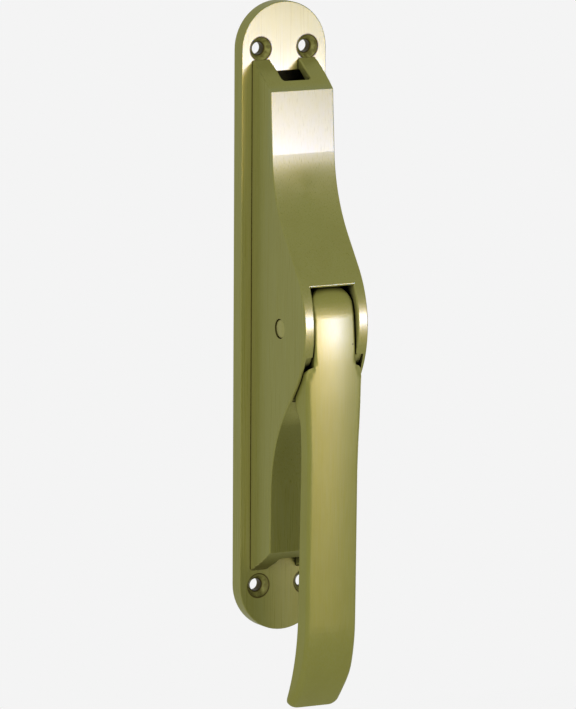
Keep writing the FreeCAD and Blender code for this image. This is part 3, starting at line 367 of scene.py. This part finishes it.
def makeShadeAndLightPaint(facts):
    group, given, out = newGroup(
        "painted shade and light in corners",
        [("Reach", "NodeSocketFloat", 0.003)],
        [("Corners", "NodeSocketFloat"), ("Recess", "NodeSocketFloat"), ("Shelter", "NodeSocketFloat"),
         ("Inside", "NodeSocketFloat")])
    samples = facts["samples"]
    # Painted shade in corners, recesses and narrow gaps, black painted in deep ones, and painted light where walls
    # shelter a place.
    corners = closedShare(group, samples, given.outputs["Reach"], *facts["corners"])
    deep = closedShare(group, samples, *facts["deep"])
    narrow = closedShare(group, samples, *facts["narrow"])
    recess = closedShare(group, samples, *facts["recess"])
    shelter = closedShare(group, samples, *facts["shelter"])
    group.links.new(corners, out.inputs["Corners"])
    group.links.new(recess, out.inputs["Recess"])
    group.links.new(shelter, out.inputs["Shelter"])
    group.links.new(mathNode(group, "MAXIMUM", deep, narrow), out.inputs["Inside"])
    return group


# Edges, where the rounded and the true normal disagree. The mask is full where they agree less than the first
# value, and ends where they agree more than the second. It gives scuffed edges, a painted highlight on the pin's
# rims, and painted shade along creases that lie in a recess.
edgeFinding = {"samples": 6, "full": 0.90, "ended": 0.995}


def makeEdgeFinder(facts):
    group, given, out = newGroup(
        "edges found by rounding",
        [("Width", "NodeSocketFloat", 0.0006)],
        [("Edges", "NodeSocketFloat")])
    rounded = group.nodes.new("ShaderNodeBevel")
    rounded.samples = facts["samples"]
    group.links.new(given.outputs["Width"], rounded.inputs["Radius"])
    true = group.nodes.new("ShaderNodeNewGeometry")
    agreement = vectorNode(group, "DOT_PRODUCT", rounded.outputs["Normal"], true.outputs["Normal"])["Value"]
    edges = rampNode(group, agreement, facts["full"], facts["ended"], 1.0, 0.0)
    group.links.new(edges, out.inputs["Edges"])
    return group


# Where the casing's upper front panel is. Painted highlight: the brass there is a little paler, so that the lamp's
# highlight on it comes out nearly white.
panel = {"low": 0.056, "high": 0.070, "back": 0.0185, "front": 0.0215}


def makePanelShare(facts):
    group, given, out = newGroup("upper panel", [("Share", "NodeSocketFloat", 1.0)], [("Panel", "NodeSocketFloat")])
    split = group.nodes.new("ShaderNodeSeparateXYZ")
    group.links.new(group.nodes.new("ShaderNodeTexCoord").outputs["Object"], split.inputs["Vector"])
    above = rampNode(group, split.outputs["Z"], facts["low"], facts["high"])
    ahead = rampNode(group, split.outputs["Y"], -facts["front"], -facts["back"], 1.0, 0.0)
    both = mathNode(group, "MULTIPLY", above, ahead)
    group.links.new(mathNode(group, "MULTIPLY", both, given.outputs["Share"]), out.inputs["Panel"])
    return group


# Dirty brown rims of the four screw sinks and dirty patches between, painted shade down in their holes, and a
# painted shadow under the casing's lower end. The lines have where they are full, where they end and how strong
# they are.
sinks = {
    "across": 0.0105,
    "up": 0.10835,
    "holeRadius": 0.0025,
    "sinkRadius": 0.00485,
    "plateFront": -0.0063,
    "plateBack": -0.0003,
    "rimLine": (0.00012, 0.00042, 0.85),
    "holeLine": (0.0002, 0.0007, 0.9),
    "patchScale": (420, 420, 420),
    "patchDetail": 2.0,
    "patchRange": (0.40, 0.62),
    "coneFade": 0.0002,
    "downFacing": (-0.7, -0.35),
    "underside": (-0.024, -0.0075),
    "plateFace": (-0.0062, -0.0061),
}


def makeSinkDirtAndShade(facts):
    group, given, out = newGroup(
        "screw sinks, dirty and shaded",
        [("Patches", "NodeSocketFloat", 0.5)],
        [("Dirty and shaded", "NodeSocketFloat"), ("Underside", "NodeSocketFloat")])
    place = group.nodes.new("ShaderNodeTexCoord").outputs["Object"]
    folded = vectorNode(group, "ABSOLUTE", place)["Vector"]
    moved = vectorNode(group, "SUBTRACT", folded, (facts["across"], 0, facts["up"]))["Vector"]
    flat = vectorNode(group, "MULTIPLY", moved, (1, 0, 1))["Vector"]
    distance = vectorNode(group, "LENGTH", flat)["Value"]
    rim = mathNode(group, "ABSOLUTE", mathNode(group, "SUBTRACT", distance, facts["sinkRadius"]))
    full, ended, strength = facts["rimLine"]
    rim = rampNode(group, rim, full, ended, strength, 0.0)
    full, ended, strength = facts["holeLine"]
    # Painted shade down in the holes.
    throat = rampNode(group, distance, facts["holeRadius"] + full, facts["holeRadius"] + ended, strength, 0.0)
    patch = noiseNode(group, place, facts["patchScale"], facts["patchDetail"])
    patch = rampNode(group, patch, *facts["patchRange"])
    cone = rampNode(group, distance, facts["sinkRadius"] - facts["coneFade"], facts["sinkRadius"], 1.0, 0.0)
    cone = mathNode(group, "MULTIPLY", mathNode(group, "MULTIPLY", cone, patch), given.outputs["Patches"])
    both = mathNode(group, "MAXIMUM", mathNode(group, "MAXIMUM", rim, throat), cone)
    split = group.nodes.new("ShaderNodeSeparateXYZ")
    group.links.new(place, split.inputs["Vector"])
    depth = split.outputs["Y"]
    below = mathNode(group, "GREATER_THAN", depth, facts["plateFront"])
    above = mathNode(group, "LESS_THAN", depth, facts["plateBack"])
    inPlate = mathNode(group, "MULTIPLY", below, above)
    group.links.new(mathNode(group, "MULTIPLY", both, inPlate), out.inputs["Dirty and shaded"])
    # Painted shadow on faces of the casing that look down, near the plate.
    facing = group.nodes.new("ShaderNodeSeparateXYZ")
    group.links.new(group.nodes.new("ShaderNodeNewGeometry").outputs["Normal"], facing.inputs["Vector"])
    down = rampNode(group, facing.outputs["Z"], *facts["downFacing"], 1.0, 0.0)
    under = mathNode(group, "MULTIPLY", down, rampNode(group, depth, *facts["underside"]))
    onCasing = rampNode(group, depth, *facts["plateFace"], 1.0, 0.0)
    group.links.new(mathNode(group, "MULTIPLY", under, onCasing), out.inputs["Underside"])
    return group


brushing = makeBrushing(brushed)
pores = makePores(poreDots)
shadeAndLightPaint = makeShadeAndLightPaint(closeness)
edgeFinder = makeEdgeFinder(edgeFinding)
sinkDirtAndShade = makeSinkDirtAndShade(sinks)
upperPanel = makePanelShare(panel)


def placeGroup(tree, group, **values):
    node = tree.nodes.new("ShaderNodeGroup")
    node.node_tree = group
    for label, value in values.items():
        node.inputs[label].default_value = value
    return node.outputs


def newMaterial(name):
    material = bpy.data.materials.new(name)
    material.use_nodes = True
    tree = material.node_tree
    tree.nodes.clear()
    output = tree.nodes.new("ShaderNodeOutputMaterial")
    shader = tree.nodes.new("ShaderNodeBsdfPrincipled")
    tree.links.new(shader.outputs["BSDF"], output.inputs["Surface"])
    return material, tree, shader.inputs


def addLineBump(tree, height, inputs, facts):
    bump = tree.nodes.new("ShaderNodeBump")
    bump.inputs["Strength"].default_value = facts["lineStrength"]
    bump.inputs["Distance"].default_value = facts["lineHeight"]
    tree.links.new(height, bump.inputs["Height"])
    tree.links.new(bump.outputs["Normal"], inputs["Normal"])


# Lacquered brass, brushed upright: dull olive where it is flat, cream where the soft box catches it. The colours
# of the panel and of places sheltered by a wall are fitted tones: the paler panel is a painted highlight, and the
# lighter brass beside walls is painted light that lifts the shade there. The colours of the panel and of places
# sheltered by a wall are fitted to the photo's tones. Dirty patches, pores and painted shade come in the order of
# their shares.
satinBrass = {
    "color": (0.243, 0.243, 0.068),
    "cloudColor": (0.237, 0.235, 0.064),
    # Painted light: lighter brass beside the casing's walls, lifting the shade there.
    "paintedLightColor": (0.42, 0.41, 0.125),
    # Painted highlight: paler, bluer brass on the upper panel.
    "paintedHighlightColor": (0.241, 0.250, 0.090),
    # Colour of dirty patches and pores, and of painted shade and shadow.
    "dirtAndShadeColor": (0.050, 0.032, 0.004),
    "wearAndGlintColor": (0.40, 0.38, 0.17),
    "insideColor": (0.002, 0.002, 0.002),
    "cloudRange": (0.35, 0.65),
    "lineRange": (0.3, 0.7),
    "cornerShadeReach": 0.0010,
    "dirtAndShadeShares": {"recess": 0.18, "edges": 2.2, "sinks": 1.0, "underside": 0.62, "corners": 0.95, "pores": 0.8},
    "patches": 0.5,
    "poreShare": 0.05,
    "edgeWidth": 0.0007,
    "wearAndGlintShare": 0.18,
    "metallic": 0.35,
    "roughness": (0.265, 0.335),
    "stretch": 0.3,
    "coat": 0.1,
    "coatRoughness": 0.26,
    "lineStrength": 1.0,
    "lineHeight": 0.000012,
    "streaks": {"Red": (0.98, 1.02), "Green": (0.97, 1.03), "Blue": (0.80, 1.20)},
}
# Pin: paler brass, and rims brightened strongly: a painted highlight on its ends.
pinBrass = dict(
    satinBrass, color=(0.280, 0.274, 0.088), cloudColor=(0.31, 0.30, 0.10), wearAndGlintColor=(0.62, 0.58, 0.30),
    wearAndGlintShare=0.8)
leverColor = (0.243, 0.242, 0.057)
leverBrass = dict(
    satinBrass, color=leverColor, cloudColor=(0.237, 0.234, 0.054), paintedLightColor=leverColor,
    roughness=(0.345, 0.385), lineHeight=0.000008)


def makeSatinBrass(name, facts):
    material, tree, inputs = newMaterial(name)
    lines = placeGroup(tree, brushing, Contrast=1.0)
    paintedShadeAndLight = placeGroup(tree, shadeAndLightPaint, Reach=facts["cornerShadeReach"])
    edgeMask = placeGroup(tree, edgeFinder, Width=facts["edgeWidth"])
    dots = placeGroup(tree, pores, Share=facts["poreShare"])
    sunk = placeGroup(tree, sinkDirtAndShade, Patches=facts["patches"])
    clouds = rampNode(tree, lines["Clouds"], *facts["cloudRange"])
    color = mixNode(tree, clouds, facts["color"], facts["cloudColor"])
    # Painted highlight on the upper panel.
    color = mixNode(tree, placeGroup(tree, upperPanel, Share=1.0)["Panel"], color, facts["paintedHighlightColor"])
    # Painted light beside walls, lifting their shade.
    color = mixNode(tree, paintedShadeAndLight["Shelter"], color, facts["paintedLightColor"])
    streaks = tree.nodes.new("ShaderNodeCombineColor")
    for label, (low, high) in facts["streaks"].items():
        tree.links.new(rampNode(tree, lines["Lines"], *facts["lineRange"], low, high), streaks.inputs[label])
    color = mixNode(tree, 1.0, color, streaks.outputs["Color"], "MULTIPLY")
    # Edge tint: scuffed edges, and on the pin a painted rim highlight.
    edgeTint = mathNode(tree, "MULTIPLY", edgeMask["Edges"], facts["wearAndGlintShare"])
    color = mixNode(tree, edgeTint, color, facts["wearAndGlintColor"])
    places = {
        "recess": paintedShadeAndLight["Recess"],
        # Painted shade along creases that lie in a recess.
        "edges": mathNode(tree, "MULTIPLY", edgeMask["Edges"], paintedShadeAndLight["Recess"]),
        "sinks": sunk["Dirty and shaded"],
        "underside": sunk["Underside"],
        "corners": paintedShadeAndLight["Corners"],
        "pores": dots["Pores"],
    }
    # Dirty patches and pores, and painted shade in corners, recesses, creases, holes and under the casing.
    for label, share in facts["dirtAndShadeShares"].items():
        color = mixNode(tree, mathNode(tree, "MULTIPLY", places[label], share, True), color, facts["dirtAndShadeColor"])
    # Black painted where hardly any light gets in.
    color = mixNode(tree, paintedShadeAndLight["Inside"], color, facts["insideColor"])
    tree.links.new(color, inputs["Base Color"])
    roughness = rampNode(tree, lines["Lines"], *facts["lineRange"], *facts["roughness"])
    tree.links.new(roughness, inputs["Roughness"])
    addLineBump(tree, lines["Height"], inputs, facts)
    inputs["Metallic"].default_value = facts["metallic"]
    inputs["Specular IOR Level"].default_value = 0.0
    inputs["Anisotropic"].default_value = facts["stretch"]
    inputs["Coat Weight"].default_value = facts["coat"]
    inputs["Coat Roughness"].default_value = facts["coatRoughness"]
    return material


# Plain brass and steel of the works inside and the back.
plainMetal = {
    # Colour of painted shade in closed corners.
    "dirtAndShadeColor": (0.01, 0.009, 0.007),
    "wearAndGlintColor": (0.6, 0.57, 0.5),
    "insideColor": (0.002, 0.002, 0.002),
    "cloudRange": (0.35, 0.65),
    "cornerShadeReach": 0.0015,
    "cornerShadeShare": 0.6,
    "edgeWidth": 0.0003,
    "wearAndGlintShare": 0.4,
    "lineContrast": 0.6,
    "lineStrength": 0.5,
    "lineHeight": 0.00002,
}
plainBrass = dict(
    plainMetal, color=(0.33, 0.29, 0.115), dull=(0.315, 0.277, 0.11), roughness=0.42, metallic=0.6)
oiledSteel = dict(
    plainMetal, color=(0.25, 0.235, 0.20), dull=(0.21, 0.198, 0.17), roughness=0.38, metallic=0.9)


def makePlainMetal(name, facts):
    material, tree, inputs = newMaterial(name)
    lines = placeGroup(tree, brushing, Contrast=facts["lineContrast"])
    paintedShadeAndLight = placeGroup(tree, shadeAndLightPaint, Reach=facts["cornerShadeReach"])
    edgeMask = placeGroup(tree, edgeFinder, Width=facts["edgeWidth"])
    color = mixNode(tree, rampNode(tree, lines["Clouds"], *facts["cloudRange"]), facts["color"], facts["dull"])
    edgeTint = mathNode(tree, "MULTIPLY", edgeMask["Edges"], facts["wearAndGlintShare"])
    color = mixNode(tree, edgeTint, color, facts["wearAndGlintColor"])
    # Painted shade in closed corners.
    dirty = mathNode(tree, "MULTIPLY", paintedShadeAndLight["Corners"], facts["cornerShadeShare"])
    color = mixNode(tree, dirty, color, facts["dirtAndShadeColor"])
    # Black painted where hardly any light gets in.
    color = mixNode(tree, paintedShadeAndLight["Inside"], color, facts["insideColor"])
    tree.links.new(color, inputs["Base Color"])
    addLineBump(tree, lines["Height"], inputs, facts)
    inputs["Metallic"].default_value = facts["metallic"]
    inputs["Roughness"].default_value = facts["roughness"]
    return material


finishes = {
    "satin_brass": makeSatinBrass("satin brass", satinBrass),
    "plain_brass": makePlainMetal("plain brass", plainBrass),
    "steel": makePlainMetal("oiled steel", oiledSteel),
}
leverFinish = makeSatinBrass("satin brass, handled", leverBrass)
pinFinish = makeSatinBrass("satin brass, pin, with painted rim highlight", pinBrass)
print("finishes made")

for part in frame["record"]["subparts"]:
    node = frame["nodes"][part["node"]]
    for slot in node.material_slots:
        slot.material = finishes[part["material_slot"]]


def selectOnly(item):
    bpy.ops.object.select_all(action="DESELECT")
    item.select_set(True)
    bpy.context.view_layer.objects.active = item


def applyAll(item):
    selectOnly(item)
    for modifier in list(item.modifiers):
        bpy.ops.object.modifier_apply(modifier=modifier.name)


# Lever: the casting's own form with its front crowned across, its corners drawn tight, and its head domed
# lengthways and rounded off at the top. At the shoulder the crown is shallow and the corners stay wide, so that
# the lever clears the casing when it is raised. Rows are a level and a value, bands four levels.
lever = {
    "crownRadius": 0.058,
    "frontDepth": 0.05115,
    "frontTop": 0.004,
    "frontFall": 0.0021 / 0.122,
    "frontArcs": [(0.03465, 0.00428, 0.0165, 1), (-0.00094, -0.11714, 0.050, -1)],
    "skin": 0.0065,
    "shoulderSkin": 0.0026,
    "shoulderBand": (-0.024, -0.018, -0.0095, -0.005),
    "wideCornerBand": (-0.0195, -0.0175, -0.0115, -0.0105),
    "wideCornerAcross": (0.0088, 0.0096),
    "dome": [(-0.034, 0.0), (-0.027, 0.000035), (-0.020, 0.00014), (-0.013, 0.000315), (-0.008, 0.00053),
             (-0.003, 0.00088), (0.002, 0.00136), (0.005, 0.00164), (0.009, 0.00182), (0.014, 0.0015),
             (0.020, 0.0006), (0.026, 0.0)],
    "widths": [(-0.0108, 0.0092), (-0.0168, 0.0125), (-0.062, 0.0113)],
    "castRound": 0.003,
    "rounds": [(-0.148, 0.003), (-0.135, 0.0017), (-0.030, 0.0015), (-0.012, 0.0012), (-0.006, 0.0009)],
    "cornerSearch": 0.0045,
    "cornerSlack": 0.00025,
    "leastAcross": 0.005,
    "leastInset": 0.00002,
    "hair": 0.0001,
    "headTop": 0.0105,
    "headHeight": 0.0080,
    "headSteepest": 0.95,
    "headCrownDepths": (0.034, 0.042),
    "headRoundDepths": (0.034, 0.040),
    "mergeReach": 0.000002,
    "sliceAcross": 0.00125,
    "sliceAlong": 0.0025,
    "sliceSlack": 0.000001,
    "outlineStep": 0.0001,
    "sharpAngle": 38.0,
}


def copyNode(name, label, mergeReach):
    node = frame["nodes"][name]
    piece = bpy.data.objects.new(label, node.data.copy())
    bpy.context.collection.objects.link(piece)
    selectOnly(piece)
    bpy.ops.object.mode_set(mode="EDIT")
    bpy.ops.mesh.select_all(action="SELECT")
    bpy.ops.mesh.customdata_custom_splitnormals_clear()
    bpy.ops.mesh.remove_doubles(threshold=mergeReach)
    return piece


def sliceMesh(place, normal, slack):
    bpy.ops.mesh.select_all(action="SELECT")
    bpy.ops.mesh.bisect(plane_co=place, plane_no=normal, threshold=slack)


def smoothShare(value, low, high):
    share = max(0.0, min(1.0, (value - low) / (high - low)))
    return share * share * (3 - 2 * share)


# One between the inner two of the band's levels, none beyond the outer two.
def bandShare(level, band):
    return smoothShare(level, band[0], band[1]) * (1 - smoothShare(level, band[2], band[3]))


# Half the lever's width: neck, shoulder, cheeks and the long taper to the grip, each bend two equal arcs.
def bendWidth(level, start, end):
    aside, along = end[1] - start[1], start[0] - end[0]
    radius = (aside ** 2 + along ** 2) / (4 * abs(aside))
    down = start[0] - level
    if down > along / 2:
        return end[1] - math.copysign(radius - math.sqrt(radius ** 2 - (along - down) ** 2), aside)
    return start[1] + math.copysign(radius - math.sqrt(radius ** 2 - down ** 2), aside)


def halfWidth(level, facts):
    rows = facts["widths"]
    if level >= rows[0][0]:
        return rows[0][1]
    for start, end in zip(rows, rows[1:]):
        if level > end[0]:
            return bendWidth(level, start, end)
    return rows[-1][1]


def frontSkin(place, facts):
    outward = Vector((0, -1, 0))
    sunk = facts["frontDepth"] - max(0.0, facts["frontTop"] - place.z) * facts["frontFall"] + place.y
    for depth, level, radius, side in facts["frontArcs"]:
        if (place.z - level) * side > 0:
            outward = Vector((0, place.y + depth, place.z - level))
            sunk = radius - outward.length
            outward.normalize()
    return outward, sunk


# A point on the cast corner's round moves out to where a tighter round would be.
def tightenCorner(place, outline, facts):
    old = facts["castRound"]
    new = curveValue(facts["rounds"], place.z)
    across = smoothShare(abs(place.x), *facts["wideCornerAcross"])
    new += (old - new) * across * bandShare(place.z, facts["wideCornerBand"])
    outward, sunk = frontSkin(place, facts)
    hair = facts["hair"]
    if new > old - hair or not -hair < sunk < old or abs(place.x) < facts["leastAcross"]:
        return place
    side = math.copysign(1.0, place.x)
    near = [spot for spot in outline if abs(spot.z - place.z) < facts["cornerSearch"]]
    if not near:
        return place
    flat = Vector((abs(place.x), 0, place.z))
    spot = min(near, key=lambda other: (other - flat).length)
    toEdge = spot - flat
    inset = toEdge.length
    if not facts["leastInset"] < inset < old:
        return place
    toEdge.normalize()
    aside, ahead = old - inset, old - sunk
    reach = math.hypot(aside, ahead)
    if abs(reach - old) > facts["cornerSlack"]:
        return place
    aside, ahead = aside / reach, ahead / reach
    square = old - new
    total = square * (aside + ahead)
    outside = total + math.sqrt(max(0.0, total ** 2 - 2 * square ** 2 + new ** 2))
    if min(outside * aside, outside * ahead) < square:
        outside = old / max(aside, ahead)
    toEdge.x *= side
    return place + toEdge * (aside * (outside - reach)) + outward * (ahead * (outside - reach))


# Smooth curve through the rows, with the slope of each row taken from its neighbours.
def curveValue(rows, level):
    if level <= rows[0][0] or level >= rows[-1][0]:
        return rows[0][1] if level <= rows[0][0] else rows[-1][1]
    index = max(place for place in range(len(rows) - 1) if rows[place][0] <= level)
    low, high = rows[index], rows[index + 1]
    span = high[0] - low[0]
    slopes = []
    for spot in (index, index + 1):
        before, after = rows[max(0, spot - 1)], rows[min(len(rows) - 1, spot + 1)]
        slopes.append((after[1] - before[1]) / (after[0] - before[0]) if 0 < spot < len(rows) - 1 else 0.0)
    share = (level - low[0]) / span
    rise = share * share * (3 - 2 * share)
    return low[1] + (high[1] - low[1]) * rise + slopes[0] * span * share * (1 - share) ** 2 \
        - slopes[1] * span * share * share * (1 - share)


def crownFront(place, facts):
    front = facts["frontDepth"] - max(0.0, facts["frontTop"] - place.z) * facts["frontFall"]
    skin = facts["skin"] + (facts["shoulderSkin"] - facts["skin"]) * bandShare(place.z, facts["shoulderBand"])
    share = 1 - smoothShare(front + place.y, 0.0, skin)
    crown = place.x ** 2 / (2 * facts["crownRadius"])
    if place.z > facts["frontTop"]:
        share = smoothShare(-place.y, *facts["headCrownDepths"])
    return place + Vector((0, share * (crown + curveValue(facts["dome"], place.z)), 0))


def roundHead(place, facts):
    rise = min(facts["headSteepest"], max(0.0, place.z - facts["headTop"]) / facts["headHeight"])
    ahead = smoothShare(-place.y, *facts["headRoundDepths"])
    narrow = 1 - (1 - math.sqrt(1 - rise ** 2)) * ahead
    return Vector((place.x * narrow, place.y, place.z))


def makeLever(facts):
    piece = copyNode("lever", "crowned_lever", facts["mergeReach"])
    low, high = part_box("lever")
    across = math.floor(high[0] / facts["sliceAcross"])
    for step in range(-across, across + 1):
        sliceMesh((step * facts["sliceAcross"], 0, 0), (1, 0, 0), facts["sliceSlack"])
    level = low[2] + facts["sliceAlong"]
    while level < high[2]:
        sliceMesh((0, 0, level), (0, 0, 1), facts["sliceSlack"])
        level += facts["sliceAlong"]
    bpy.ops.object.mode_set(mode="OBJECT")
    gap = facts["outlineStep"]
    levels = [high[2] - step * gap for step in range(int((high[2] - low[2]) / gap))]
    outline = [Vector((halfWidth(level, facts), 0, level)) for level in levels]
    for vertex in piece.data.vertices:
        vertex.co = roundHead(crownFront(tightenCorner(vertex.co, outline, facts), facts), facts)
    bpy.ops.object.shade_smooth_by_angle(angle=math.radians(facts["sharpAngle"]))
    weights = piece.modifiers.new("even shading", "WEIGHTED_NORMAL")
    weights.keep_sharp = True
    applyAll(piece)
    piece.data.materials.clear()
    piece.data.materials.append(leverFinish)
    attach(piece, "lever")
    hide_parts("lever")
    return piece


crownedLever = makeLever(lever)
print("lever crowned,", len(crownedLever.data.polygons), "faces")


# Pivot pin: riveted over, so each end is a low dome in a sunk ring.
pin = {
    "segments": 64,
    "ringWidth": 0.0005,
    "ringWall": 0.00008,
    "ringDepth": 0.0003,
    "domeHeight": 0.00045,
    "domeSteps": 5,
    "endFacing": 0.9,
    "sharpAngle": 30.0,
}


def makePin(facts):
    low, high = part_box("pivot_pin")
    radius = (high[2] - low[2]) / 2
    middle = ((low[0] + high[0]) / 2, (low[1] + high[1]) / 2, (low[2] + high[2]) / 2)
    bpy.ops.object.select_all(action="DESELECT")
    bpy.ops.mesh.primitive_cylinder_add(
        vertices=facts["segments"], radius=radius, depth=high[0] - low[0] - 2 * facts["domeHeight"],
        end_fill_type="NGON", location=middle, rotation=(0, math.pi / 2, 0))
    piece = bpy.context.object
    piece.name = "riveted_pin"
    bpy.ops.object.transform_apply(location=True, rotation=True, scale=True)
    bpy.ops.object.mode_set(mode="EDIT")
    bpy.ops.mesh.select_mode(type="FACE")
    steps = facts["domeSteps"]
    stepIn = (radius - facts["ringWidth"]) / (steps + 1)
    for side in (-1, 1):
        bpy.ops.mesh.select_all(action="DESELECT")
        bpy.ops.object.mode_set(mode="OBJECT")
        for face in piece.data.polygons:
            face.select = face.normal.x * side > facts["endFacing"]
        bpy.ops.object.mode_set(mode="EDIT")
        bpy.ops.transform.translate(value=(-side * facts["ringDepth"], 0, 0))
        bpy.ops.mesh.inset(thickness=facts["ringWall"])
        bpy.ops.mesh.inset(thickness=facts["ringWidth"] - facts["ringWall"])
        bpy.ops.transform.translate(value=(side * facts["ringDepth"], 0, 0))
        for step in range(steps):
            rise = facts["domeHeight"] * (steps - step) * 2 / (steps * (steps + 1))
            bpy.ops.mesh.inset(thickness=stepIn)
            bpy.ops.transform.translate(value=(side * rise, 0, 0))
    bpy.ops.object.mode_set(mode="OBJECT")
    bpy.ops.object.shade_smooth_by_angle(angle=math.radians(facts["sharpAngle"]))
    piece.data.materials.clear()
    piece.data.materials.append(pinFinish)
    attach(piece, "casing")
    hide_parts("pivot_pin")
    return piece


makePin(pin)
print("pin riveted")
